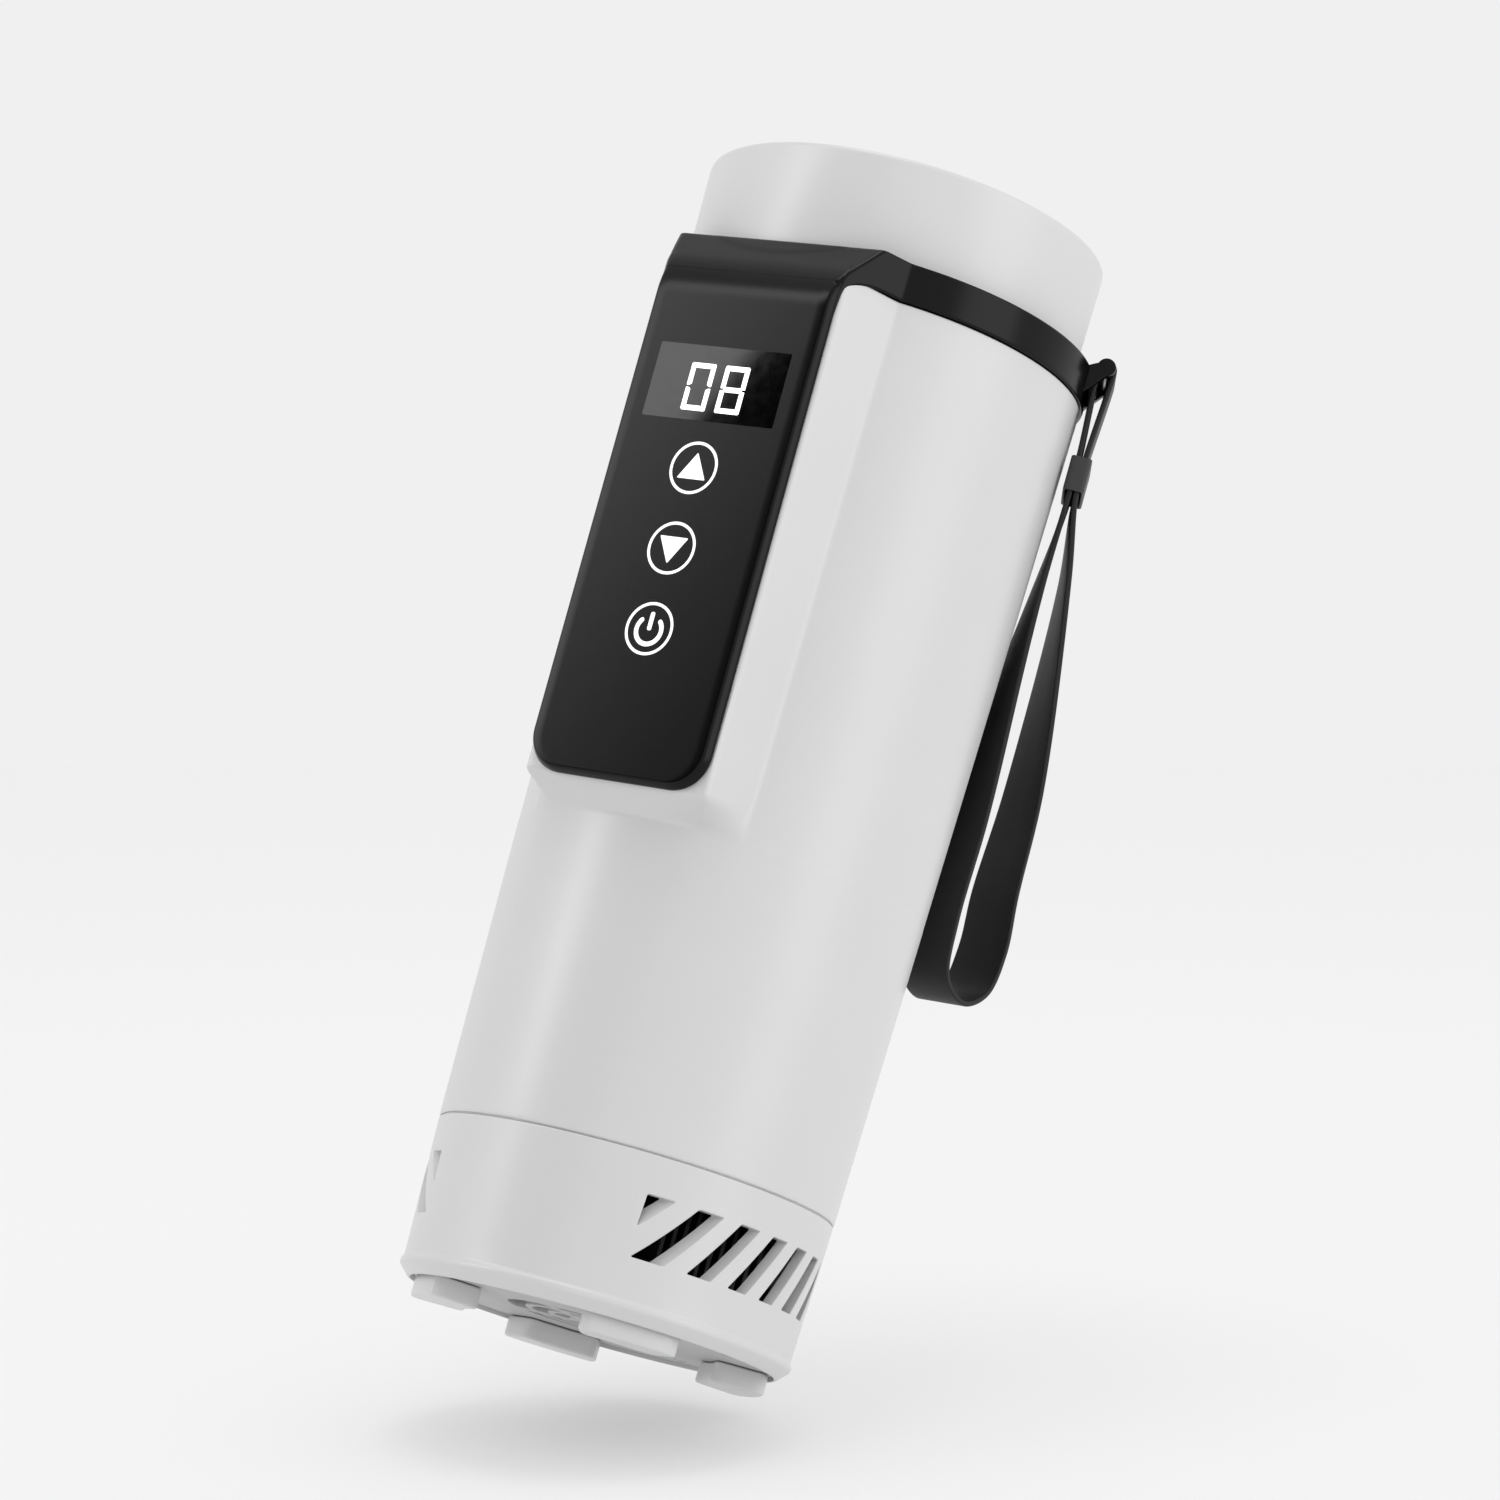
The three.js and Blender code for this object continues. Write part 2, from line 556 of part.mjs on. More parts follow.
/** One leaning slot cut straight through both sides, clipped to the vented field. */
function ventCutter(index) {
  const start = -VENT_HALF + 0.4 + (index - 1) * VENT_PITCH;
  const outline = new THREE.Shape([
    new THREE.Vector2(start, VENT_Z),
    new THREE.Vector2(start + VENT_WIDTH, VENT_Z),
    new THREE.Vector2(start + VENT_WIDTH + VENT_LEAN, VENT_Z + VENT_HEIGHT),
    new THREE.Vector2(start + VENT_LEAN, VENT_Z + VENT_HEIGHT),
  ]);
  const slot = new THREE.ExtrudeGeometry(outline, { depth: 120, bevelEnabled: false });
  slot.rotateX(Math.PI / 2).rotateZ(Math.PI / 2).translate(-60, 0, 0);
  return solid(slot).intersect(box([-60, -VENT_HALF, 0], [60, VENT_HALF, 60]));
}

const BASE_SCREW_R = SKIRT_FOOT_R - WALL - 4.4;
const SOCKET_REACH = SEAM_R - 1.4;
const SOCKET_Z = 23;
const SOCKET_HALF = 4.6;
const SOCKET_HEIGHT = 3.2;

/** Lower casing with a bevelled lip, leaning side vents and an opening for the charging socket. */
function baseSkirt() {
  const top = SEAM_Z - GAP / 2;
  const bevel = LIP_Z - RIM_Z;
  const shell = turned([
    [LIP_R - bevel - 0.4, RIM_Z], [LIP_R - bevel, RIM_Z], [LIP_R, LIP_Z], [LIP_R, LIP_Z + 1],
    [SKIRT_FOOT_R, LIP_Z + 1.4], [SEAM_R, top], [SEAM_R - WALL, top], [SKIRT_FOOT_R - WALL, LIP_Z + 1.4],
  ]);
  const boss = box([-3.4, BASE_SCREW_R - 3, FAN_Z], [3.4, SKIRT_FOOT_R - WALL + 0.8, VENT_Z - 2]);
  const pilot = disc(1.2 + GAP, 0, VENT_Z - 3, SMALL_SIDES).translate([0, BASE_SCREW_R, 0]);
  const bosses = [0, 90, 180, 270].map((angle) => spun(boss, angle));
  const pilots = [0, 90, 180, 270].map((angle) => spun(pilot, angle));
  const vents = Array.from({ length: VENT_COUNT }, (_, index) => ventCutter(index));
  const socket = box(
    [-SOCKET_HALF - GAP, SOCKET_REACH - 10, SOCKET_Z - GAP],
    [SOCKET_HALF + GAP, SOCKET_REACH + 10, SOCKET_Z + SOCKET_HEIGHT + GAP],
  );
  return cut(union([cut(shell, vents), ...bosses]), [...pilots, socket]);
}

/** Round bottom plate with a ringed air intake. */
function basePlate() {
  const plate = disc(SKIRT_FOOT_R - WALL - GAP, PLATE_Z, PLATE_T);
  const rings = [[5, 8], [9.6, 12.8], [14.4, 18]];
  const openings = union(rings.map(([inner, outer]) => tube(inner, outer, 0, 20, 24)));
  const spoke = box([-30, -1.3, 0], [30, 1.3, 20]);
  const holes = [0, 90, 180, 270].flatMap((angle) => [
    spun(disc(1.2 + GAP, 0, 20, SMALL_SIDES).translate([0, BASE_SCREW_R, 0]), angle),
    spun(disc(2.3 + GAP, PLATE_Z - 1, 2.3, SMALL_SIDES).translate([0, BASE_SCREW_R, 0]), angle),
  ]);
  return cut(plate, [openings.subtract(spoke).subtract(spun(spoke, 90)), ...holes]);
}

/** Curved foot, a block cut from a ring. */
function foot(degrees) {
  const half = THREE.MathUtils.degToRad(FOOT_HALF_DEG);
  const outline = new THREE.Shape();
  outline.absarc(0, 0, FOOT_OUT_R, -half, half, false);
  outline.absarc(0, 0, FOOT_IN_R, half * 1.15, -half * 1.15, true);
  const height = PLATE_Z - GAP - FOOT_Z;
  return spun(solid(new THREE.ExtrudeGeometry(outline, {
    depth: height, bevelEnabled: false, curveSegments: 8,
  })).translate([0, 0, FOOT_Z]), degrees);
}

/** Metal shell of the charging socket, open to the rear, with its contact tongue. */
function chargeSocket() {
  const top = SOCKET_Z + SOCKET_HEIGHT;
  const wall = 0.35;
  const middle = SOCKET_Z + SOCKET_HEIGHT / 2;
  const back = SOCKET_REACH - 9.1;
  const shell = box([-SOCKET_HALF, back, SOCKET_Z], [SOCKET_HALF, SOCKET_REACH, top]);
  const mouth = box([wall - SOCKET_HALF, back + 2, SOCKET_Z + wall], [SOCKET_HALF - wall, 60, top - wall]);
  const tongue = box([-3.3, back + 1.5, middle - 0.35], [3.3, back + 7.5, middle + 0.35]);
  return shell.subtract(mouth).add(tongue);
}

function addBase(group) {
  place(group, 'base_skirt', baseSkirt(), WHITE_ABS);
  place(group, 'base_plate', basePlate(), WHITE_INNER);
  [['front_right', -45], ['rear_right', 45], ['rear_left', 135], ['front_left', 225]]
    .forEach(([where, degrees]) => place(group, `foot_${where}`, foot(degrees), WHITE_INNER));
  [0, 90, 180, 270].forEach((angle, index) => {
    const head = screw(2.3, 1, 1.2, 6, PLATE_Z + 1, 1).translate([0, BASE_SCREW_R, 0]);
    place(group, `base_screw_${index + 1}`, spun(head, angle), STEEL);
  });
  place(group, 'charge_socket', chargeSocket(), STEEL);
  place(group, 'charge_board', box(
    [-7, SOCKET_REACH - 13.6, SOCKET_Z - GAP - 1.4], [7, SOCKET_REACH - 4.1, SOCKET_Z - GAP],
  ), BOARD);
}

/** Wires from the base up to the control board, in one sleeve. */
function wiringLoom() {
  const y = -LOOM_REACH;
  const top = springCentre(2) - BOARD_DROP - 8;
  const path = new THREE.CatmullRomCurve3([
    new THREE.Vector3(0, y + 9, FAN_Z + 6), new THREE.Vector3(0, y + 5, FAN_Z + 9),
    new THREE.Vector3(0, y, FAN_Z + 18), new THREE.Vector3(0, y, CUP_Z),
    new THREE.Vector3(0, y, top - 23), new THREE.Vector3(0, y - 4, top),
  ]);
  const sleeve = new THREE.Shape().absarc(0, 0, 1.2, 0, 2 * Math.PI);
  return new THREE.ExtrudeGeometry(sleeve, { steps: 20, curveSegments: 3, extrudePath: path });
}

// ---------------------------------------------------------------- lid

/** Ring between the body's neck and the cup, with a collar that drops into the neck. */
function rimCollar() {
  const under = CUP_TOP + GAP;
  const inNeck = NECK_R - WALL - GAP;
  return turned([
    [CHAMBER_R, under], [inNeck - WALL, under], [inNeck - WALL, under - 4], [inNeck, under - 4],
    [inNeck, under], [NECK_R, under], [NECK_R, COLLAR_TOP], [CHAMBER_R, COLLAR_TOP],
  ]);
}

/** Outer cap of the lid, open below. */
function lidShell() {
  const wall = WALL - 0.3;
  return turned([
    [LID_R, LID_Z], [LID_R + LID_FLARE, LID_TOP - LID_EDGE],
    [LID_R + LID_FLARE - LID_EDGE * 0.3, LID_TOP - LID_EDGE * 0.3],
    [LID_R + LID_FLARE - LID_EDGE, LID_TOP], [0, LID_TOP], [0, LID_TOP - wall],
    [LID_R + LID_FLARE - LID_EDGE - wall, LID_TOP - wall], [LID_R - wall, LID_Z],
  ]);
}

const PLUG_R = CHAMBER_R - 0.9;
const PLUG_WALL = 2.2;
const SEAL_Z = COLLAR_TOP - 6.6;
const SEAL_HEIGHT = 2.5;
const SEAL_DEPTH = 1.1;

/** Inner cover of the lid: a plug that drops into the cup, grooved for the seal. */
function lidPlug() {
  const low = COLLAR_TOP - PLUG_DEPTH;
  const rim = COLLAR_TOP + GAP + 1;
  const edge = LID_R - WALL - GAP;
  return turned([
    [0, low], [PLUG_R, low], [PLUG_R, SEAL_Z - GAP], [PLUG_R - SEAL_DEPTH, SEAL_Z - GAP],
    [PLUG_R - SEAL_DEPTH, SEAL_Z + SEAL_HEIGHT + GAP], [PLUG_R, SEAL_Z + SEAL_HEIGHT + GAP],
    [PLUG_R, rim], [edge, rim], [edge, rim + PLUG_WALL], [PLUG_R - PLUG_WALL, rim + PLUG_WALL],
    [PLUG_R - PLUG_WALL, low + PLUG_WALL], [0, low + PLUG_WALL],
  ]);
}

/** Foam that fills the lid and its plug. */
function lidFoam() {
  const low = COLLAR_TOP - PLUG_DEPTH + PLUG_WALL + GAP;
  const step = COLLAR_TOP + GAP + 1 + PLUG_WALL + GAP;
  const inPlug = PLUG_R - PLUG_WALL - GAP;
  const inCap = LID_R - WALL - 1;
  const top = LID_TOP - WALL;
  return turned([[0, low], [inPlug, low], [inPlug, step], [inCap, step], [inCap, top], [0, top]]);
}

function addLid(group) {
  place(group, 'lid_shell', lidShell(), WHITE_ABS);
  place(group, 'lid_plug', lidPlug(), WHITE_INNER);
  place(group, 'lid_foam', lidFoam(), FOAM);
  const inner = PLUG_R - SEAL_DEPTH + GAP;
  place(group, 'lid_seal', tube(inner, CHAMBER_R - GAP, SEAL_Z, SEAL_HEIGHT), SILICONE);
}

// ---------------------------------------------------------------- wrist strap

const polar = (r, degrees, z) => new THREE.Vector3(
  r * Math.cos(THREE.MathUtils.degToRad(degrees)),
  r * Math.sin(THREE.MathUtils.degToRad(degrees)),
  z,
);

/** A point of the hanging strap: outwards and round from the pin, down from the keeper. */
const hang = (out, degrees, drop) => polar(PIN_REACH + out, LUG_DEG + degrees, KEEPER_Z - HANG_DROP - drop);
const HANG_DROP = 2.8; // start of the hanging loop's course below the keeper

/** The strap's course: up from its joint in the keeper, over the pin, down, round and up again. */
function strapCourse() {
  const layer = (STRAP_T + GAP) / 2; // each strand's offset from the middle of the keeper
  const over = PIN_R + GAP + STRAP_T / 2; // strand's middle, from the pin's axis
  const joint = KEEPER_Z + KEEPER_HEIGHT / 2;
  const outer = PIN_REACH + layer;
  const inner = PIN_REACH - layer;
  const points = [polar(outer, LUG_DEG, joint + GAP), polar(outer, LUG_DEG, KEEPER_Z + KEEPER_HEIGHT + 1)];
  for (let step = 0; step <= 8; step += 1) {
    const angle = (step / 8) * Math.PI;
    points.push(polar(PIN_REACH + over * Math.cos(angle), LUG_DEG, PIN_Z + over * Math.sin(angle)));
  }
  points.push(polar(inner, LUG_DEG, KEEPER_Z + KEEPER_HEIGHT + 1), polar(inner, LUG_DEG, KEEPER_Z - 1));
  points.push(hang(-1.9, 5, 18), hang(-2.2, 12, 40), hang(-1.5, 19, 66), hang(-1.1, 23.5, 88));
  points.push(hang(1.3, 26.5, 99.5), hang(8, 30, 103), hang(15.1, 33, 98.5), hang(17.1, 33.5, 89));
  points.push(hang(15.3, 31.9, 77), hang(9.8, 20.8, 56), hang(3.2, 4.2, 14));
  points.push(polar(outer, LUG_DEG, KEEPER_Z - 1), polar(outer, LUG_DEG, joint - GAP));
  return new THREE.CatmullRomCurve3(points, false, 'centripetal');
}

/** Direction of the strap's width at a height: along the rim above, turned square below. */
function strapAcross(z) {
  const turn = THREE.MathUtils.smoothstep(KEEPER_Z + 7 - z, 0, 105);
  const angle = THREE.MathUtils.degToRad(LUG_DEG + 90 + 60 * turn);
  return new THREE.Vector3(Math.cos(angle), Math.sin(angle), 0);
}

/** Flat strap: a straight strip of box cells laid along the course. */
function strapBand() {
  const steps = 84;
  const course = strapCourse();
  const strip = new THREE.BoxGeometry(1, STRAP_W, STRAP_T, steps, 1, 1);
  const points = strip.attributes.position;
  const corner = new THREE.Vector3();
  for (let index = 0; index < points.count; index += 1) {
    corner.fromBufferAttribute(points, index);
    const along = THREE.MathUtils.clamp(corner.x + 0.5, 0, 1);
    const middle = course.getPoint(along);
    const heading = course.getTangent(along);
    const across = strapAcross(middle.z);
    const face = heading.clone().cross(across).normalize();
    middle.addScaledVector(across, corner.y).addScaledVector(face, corner.z);
    points.setXYZ(index, middle.x, middle.y, middle.z);
  }
  return strip;
}

/** Sleeve that clamps both strands and hides the strap's joint. */
function strapKeeper() {
  const slotR = STRAP_T + GAP / 2 + GAP;
  const slotW = STRAP_W / 2 + GAP;
  const z = KEEPER_Z;
  const top = KEEPER_Z + KEEPER_HEIGHT;
  const [deep, wide] = [slotR + KEEPER_WALL, slotW + KEEPER_WALL];
  const sleeve = box([PIN_REACH - deep, -wide, z], [PIN_REACH + deep, wide, top]);
  const slot = box([PIN_REACH - slotR, -slotW, z - 1], [PIN_REACH + slotR, slotW, top + 1]);
  return spun(sleeve.subtract(slot), LUG_DEG);
}

function addStrap(group) {
  place(group, 'strap', strapBand(), RUBBER);
  place(group, 'strap_keeper', strapKeeper(), RUBBER);
  const length = STRAP_W + 2 * GAP + 2 * EAR_T;
  const pin = new THREE.CylinderGeometry(PIN_R, PIN_R, length, SMALL_SIDES).translate(PIN_REACH, 0, PIN_Z);
  place(group, 'strap_pin', spun(solid(pin), LUG_DEG), STEEL);
}

// ---------------------------------------------------------------- whole object

const cooler = new THREE.Group();
cooler.position.set(AXIS_X, AXIS_Y, -FOOT_Z);

place(cooler, 'body_shell', bodyShell(), WHITE_ABS);
place(cooler, 'front_panel', frontPanel(), BLACK_ABS);
place(cooler, 'rim_collar', rimCollar(), WHITE_INNER);
addElectronics(cooler);
addCoolingStack(cooler);
addFan(cooler);
addBase(cooler);
place(cooler, 'wiring_loom', wiringLoom(), RUBBER);
addLid(cooler);
addStrap(cooler);

export default cooler;
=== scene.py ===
"""Looks of a portable thermoelectric medicine cooler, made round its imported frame.

Sizes are in millimetres about the flask's upright axis, and each mesh is written in metres in the
frame's own place. The touch panel faces -Y, the strap's lug is on the +X side.
"""
import logging
import math
from dataclasses import dataclass, field
from enum import Enum
from typing import Callable, Sequence

import bmesh
import bpy
import numpy as np
from mathutils import Matrix, Vector
from mathutils.geometry import delaunay_2d_cdt


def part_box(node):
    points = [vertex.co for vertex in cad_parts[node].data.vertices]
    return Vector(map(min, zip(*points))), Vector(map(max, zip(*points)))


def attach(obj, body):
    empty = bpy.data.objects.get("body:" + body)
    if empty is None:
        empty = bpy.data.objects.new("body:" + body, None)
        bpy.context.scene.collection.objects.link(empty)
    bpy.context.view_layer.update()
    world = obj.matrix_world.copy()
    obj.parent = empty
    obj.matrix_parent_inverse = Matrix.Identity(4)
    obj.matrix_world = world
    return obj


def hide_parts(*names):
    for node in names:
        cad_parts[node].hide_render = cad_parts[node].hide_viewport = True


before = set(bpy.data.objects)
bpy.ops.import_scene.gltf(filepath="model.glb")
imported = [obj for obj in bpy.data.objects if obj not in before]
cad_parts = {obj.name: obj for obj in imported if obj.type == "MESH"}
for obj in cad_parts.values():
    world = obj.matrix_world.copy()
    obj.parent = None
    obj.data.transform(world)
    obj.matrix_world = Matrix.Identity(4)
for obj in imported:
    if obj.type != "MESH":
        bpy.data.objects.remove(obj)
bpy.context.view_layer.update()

LOG = logging.getLogger("cooler")
MM = 0.001
GAP = 0.3  # clearance between pieces that touch
TAPER = 0.0238  # growth of the body's radius per millimetre of height
SEAM_Z, SEAM_R = 38.8, 42.0
BAND_Z, BAND_TOP = 219.1, 227.6
WALL = 2.5
CUP_Z = 52.5  # underside of the cup, which ties these heights to the frame's
CHAMBER_R = 26.5
PIN_REACH, PIN_Z, LUG_DEG = 49.54, 228.2, 28.0  # strap's pin: out from the axis, height, angle


def axis_place() -> np.ndarray:
    """Where the flask's axis and height zero lie, in millimetres, taken from the round cup's box."""
    low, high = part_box("cold_cup")
    return np.array([(low[0] + high[0]) / 2, (low[1] + high[1]) / 2, low[2] - CUP_Z * MM]) / MM


AXIS = axis_place()


# ---------------------------------------------------------------- numbers and surfaces


def body_radius(z: np.ndarray | float) -> np.ndarray | float:
    """Radius of the tapered body: the seam's radius plus the taper times the height above it."""
    return SEAM_R + TAPER * (z - SEAM_Z)


BAND_R = body_radius(BAND_Z) + 0.65  # outside of the black band
NECK_R = body_radius(BAND_Z) - 2  # neck of the casing, which the band goes round


def soft_max(a: np.ndarray, b: np.ndarray, reach: float) -> np.ndarray:
    """Larger of two, with a blend.

    The larger value, plus a quarter of the squared closeness where the two are within reach.

    Args:
        a: First values.
        b: Second values.
        reach: Difference below which the two blend.

    Returns:
        The blended values.
    """
    near = np.maximum(reach - np.abs(a - b), 0.0)
    return np.maximum(a, b) + near * near / (4.0 * reach)


def soft_min(a: np.ndarray, b: np.ndarray, reach: float) -> np.ndarray:
    """Smaller of two, blended as in soft_max."""
    return -soft_max(-a, -b, reach)


@dataclass
class Shape:
    """Vertices in millimetres about the axis, and the faces over them."""

    points: np.ndarray
    faces: list[np.ndarray] = field(default_factory=list)

    def __add__(self, other: "Shape") -> "Shape":
        """Both shapes' vertices and faces in one, unwelded.

        Args:
            other: The shape to join on.

        Returns:
            The joined shape.
        """
        shift = len(self.points)
        moved = [quads + shift for quads in other.faces]
        return Shape(np.vstack([self.points, other.points]), self.faces + moved)

    def turned(self, degrees: float) -> "Shape":
        """The shape turned about the upright axis.

        Args:
            degrees: Turn, anticlockwise from above.

        Returns:
            The turned shape.
        """
        a = math.radians(degrees)
        turn = np.array([[math.cos(a), math.sin(a), 0], [-math.sin(a), math.cos(a), 0], [0, 0, 1.0]])
        return Shape(self.points @ turn, self.faces)

    def mapped(self, move: Callable[[np.ndarray], np.ndarray]) -> "Shape":
        """The shape with its vertices put through a function."""
        return Shape(move(self.points), self.faces)


def lattice(rows: int, columns: int, wrap_rows: bool = False, wrap_columns: bool = False) -> np.ndarray:
    """Quads over a grid of vertices stored row by row.

    Args:
        rows: Number of rows of vertices.
        columns: Number of columns of vertices.
        wrap_rows: True if the last row joins the first.
        wrap_columns: True if the last column joins the first.

    Returns:
        An array of four vertex numbers for each quad.
    """
    i = np.arange(rows if wrap_rows else rows - 1)
    j = np.arange(columns if wrap_columns else columns - 1)
    i, j = np.meshgrid(i, j, indexing="ij")
    up, along = (i + 1) % rows, (j + 1) % columns
    quads = [i * columns + j, i * columns + along, up * columns + along, up * columns + j]
    return np.stack(quads, -1).reshape(-1, 4)


def surface(grid: np.ndarray, wrap_rows: bool = False, wrap_columns: bool = False) -> Shape:
    """A shape over a grid of points, rows by columns by three."""
    rows, columns = grid.shape[:2]
    return Shape(grid.reshape(-1, 3), [lattice(rows, columns, wrap_rows, wrap_columns)])


def fan(ring: np.ndarray) -> Shape:
    """A flat cap over a closed ring of points: triangles from its mean point to each side.

    Args:
        ring: Points of the ring, in order.

    Returns:
        The cap.
    """
    count = len(ring)
    j = np.arange(count)
    triangles = np.stack([j, (j + 1) % count, np.full(count, count)], -1)
    return Shape(np.vstack([ring, ring.mean(0)]), [triangles])


def rounded(corners: Sequence[tuple[float, float, float]]) -> np.ndarray:
    """A profile with its corners rounded.

    Each corner with a radius becomes a quadratic curve that leaves its two sides at that distance
    from the corner.

    Args:
        corners: Radius, height and rounding of each corner, in order round the closed profile.

    Returns:
        The points of the profile.
    """
    place = np.array([(r, z) for r, z, _ in corners])
    before, after = np.roll(place, 1, 0), np.roll(place, -1, 0)
    made = []
    for here, back, ahead, (_, _, size) in zip(place, before, after, corners):
        if size <= 0:
            made.append(here[None])
            continue
        start = here + (back - here) / np.linalg.norm(back - here) * size
        end = here + (ahead - here) / np.linalg.norm(ahead - here) * size
        t = np.linspace(0, 1, 6)[:, None]
        made.append((1 - t) ** 2 * start + 2 * t * (1 - t) * here + t * t * end)
    return np.vstack(made)


def revolved(profile: np.ndarray, columns: int = 180) -> Shape:
    """A closed profile of radius and height carried round the axis.

    A point is the radius times the sine and cosine of the angle, at the profile's height.

    Args:
        profile: Radius and height of each point.
        columns: Steps round the axis.

    Returns:
        The closed shape.
    """
    angle = np.linspace(0, 2 * math.pi, columns, endpoint=False)[None, :]
    r, z = profile[:, :1], profile[:, 1:]
    grid = np.stack([r * np.cos(angle), r * np.sin(angle), z + 0 * angle], -1)
    return surface(grid, wrap_rows=True, wrap_columns=True)


@dataclass
class Loop:
    """A closed outline in a plane, run anticlockwise, that can be moved in or out."""

    points: np.ndarray

    def at(self, out: float) -> np.ndarray:
        """The outline moved outwards along its normals, which are its turned tangents.

        Args:
            out: Distance outwards, or inwards if it is negative.

        Returns:
            The moved outline's points.
        """
        tangent = np.roll(self.points, -1, 0) - np.roll(self.points, 1, 0)
        tangent /= np.linalg.norm(tangent, axis=1, keepdims=True)
        return self.points + out * np.stack([tangent[:, 1], -tangent[:, 0]], -1)

    def holds(self, spots: np.ndarray, margin: float = 0.0) -> np.ndarray:
        """Which of some points lie inside the outline grown by a margin (crossing count).

        Args:
            spots: Points to test, two columns.
            margin: How far the outline is grown first.

        Returns:
            True for each point inside.
        """
        ring = self.at(margin)
        nxt = np.roll(ring, -1, 0)
        x, y = spots[:, :1], spots[:, 1:]
        spans = (ring[None, :, 1] > y) != (nxt[None, :, 1] > y)
        rise = nxt[:, 1] - ring[:, 1]
        rise = np.where(np.abs(rise) < 1e-12, 1e-12, rise)
        cross = ring[:, 0] + (y - ring[None, :, 1]) * (nxt[:, 0] - ring[:, 0]) / rise
        return (np.sum(spans & (x < cross), 1) % 2).astype(bool)


def polygon_loop(corners: Sequence[tuple[float, float]], radius: float, step: float = 0.7) -> Loop:
    """An outline through rounded corners, with points at even steps along its straight sides.

    Args:
        corners: The polygon's corners, anticlockwise.
        radius: Rounding at each corner.
        step: Greatest distance between points on a side.

    Returns:
        The outline.
    """
    place = np.array(corners, float)
    made = []
    for here, back, ahead in zip(place, np.roll(place, 1, 0), np.roll(place, -1, 0)):
        to_back, to_ahead = back - here, ahead - here
        size = min(radius, np.linalg.norm(to_back) * 0.45, np.linalg.norm(to_ahead) * 0.45)
        start = here + to_back / np.linalg.norm(to_back) * size
        end = here + to_ahead / np.linalg.norm(to_ahead) * size
        t = np.linspace(0, 1, 6)[:, None]
        made.append((1 - t) ** 2 * start + 2 * t * (1 - t) * here + t * t * end)
        following = ahead - to_ahead / np.linalg.norm(to_ahead) * size
        count = max(int(np.linalg.norm(following - end) / step), 1)
        side = np.linspace(0, 1, count + 1)[1:-1, None]
        made.append(end + side * (following - end))
    return Loop(np.vstack(made))


def box_loop(half_w: float, half_h: float, radius: float, step: float = 0.7) -> Loop:
    """A rounded rectangle about the origin."""
    return polygon_loop(
        [(half_w, -half_h), (half_w, half_h), (-half_w, half_h), (-half_w, -half_h)], radius, step
    )


def ring_loop(radius: float, centre: tuple[float, float] = (0.0, 0.0), count: int = 32) -> Loop:
    """A circle, anticlockwise."""
    a = np.linspace(0, 2 * math.pi, count, endpoint=False)
    return Loop(np.stack([centre[0] + radius * np.cos(a), centre[1] + radius * np.sin(a)], -1))


def arc_loop(middle: float, half_w: float, half_deg: float, at_deg: float, radius: float) -> Loop:
    """A rounded rectangle bent round the axis: its height becomes arc length at the middle radius.

    Args:
        middle: Radius of its middle line.
        half_w: Half of its radial width.
        half_deg: Half of the angle that it spans.
        at_deg: Angle of its middle.
        radius: Rounding at its corners.

    Returns:
        The outline, anticlockwise.
    """
    flat = box_loop(half_w, math.radians(half_deg) * middle, radius).points
    angle = flat[:, 1] / middle + math.radians(at_deg)
    r = middle + flat[:, 0]
    return Loop(np.stack([r * np.cos(angle), r * np.sin(angle)], -1))


def meshed(
    loops: Sequence[Loop], offsets: Sequence[float], inside: np.ndarray
) -> tuple[np.ndarray, np.ndarray]:
    """Triangles over a region bounded by a first loop and pierced by the others.

    Args:
        loops: The outer outline and then the holes.
        offsets: How far each outline is moved outwards first.
        inside: Loose points to take in, two columns.

    Returns:
        The points and the triangles, with none over a hole.
    """
    rings = [loop.at(off) for loop, off in zip(loops, offsets)]
    points = np.vstack([*rings, inside.reshape(-1, 2)])
    starts = np.cumsum([0, *[len(ring) for ring in rings]])
    edges = [
        (int(start + k), int(start + (k + 1) % len(ring)))
        for start, ring in zip(starts, rings)
        for k in range(len(ring))
    ]
    out = delaunay_2d_cdt([Vector(p) for p in points], edges, [], 0, 1e-6)
    made = np.array([tuple(v) for v in out[0]])
    faces = np.array([f for f in out[2] if len(f) == 3])
    centre = made[faces].mean(1)
    keep = Loop(rings[0]).holds(centre)
    for ring in rings[1:]:
        keep &= ~Loop(ring).holds(centre)
    return made, faces[keep]


def pierced_plate(outer: Loop, holes: Sequence[Loop], low: float, high: float, edge: float) -> Shape:
    """A flat plate with holes and softened edges on both faces.

    Args:
        outer: The plate's outline.
        holes: The outlines of its holes.
        low: Height of its lower face.
        high: Height of its upper face.
        edge: Radius of the softened edges, or zero for crisp ones.

    Returns:
        The closed plate, lying in X and Y.
    """
    loops = [outer, *holes]
    offsets = [-edge, *[edge] * len(holes)]
    flat, faces = meshed(loops, offsets, np.zeros((0, 2)))
    shape = Shape(np.column_stack([flat, np.full(len(flat), low)]), [faces])
    shape = shape + Shape(np.column_stack([flat, np.full(len(flat), high)]), [faces])
    bend = np.linspace(0, math.pi / 2, 4) if edge else [math.pi / 2]
    rows = [(1 - math.sin(a), 1 - math.cos(a)) for a in bend]
    for loop, sign in zip(loops, [-1.0, *[1.0] * len(holes)]):
        stack = [(sign * edge * side, low + edge * rise) for side, rise in rows]
        stack += [(sign * edge * side, high - edge * rise) for side, rise in reversed(rows)]
        grid = np.stack([np.column_stack([loop.at(o), np.full(len(loop.points), z)]) for o, z in stack])
        shape = shape + surface(grid, wrap_columns=True)
    return shape


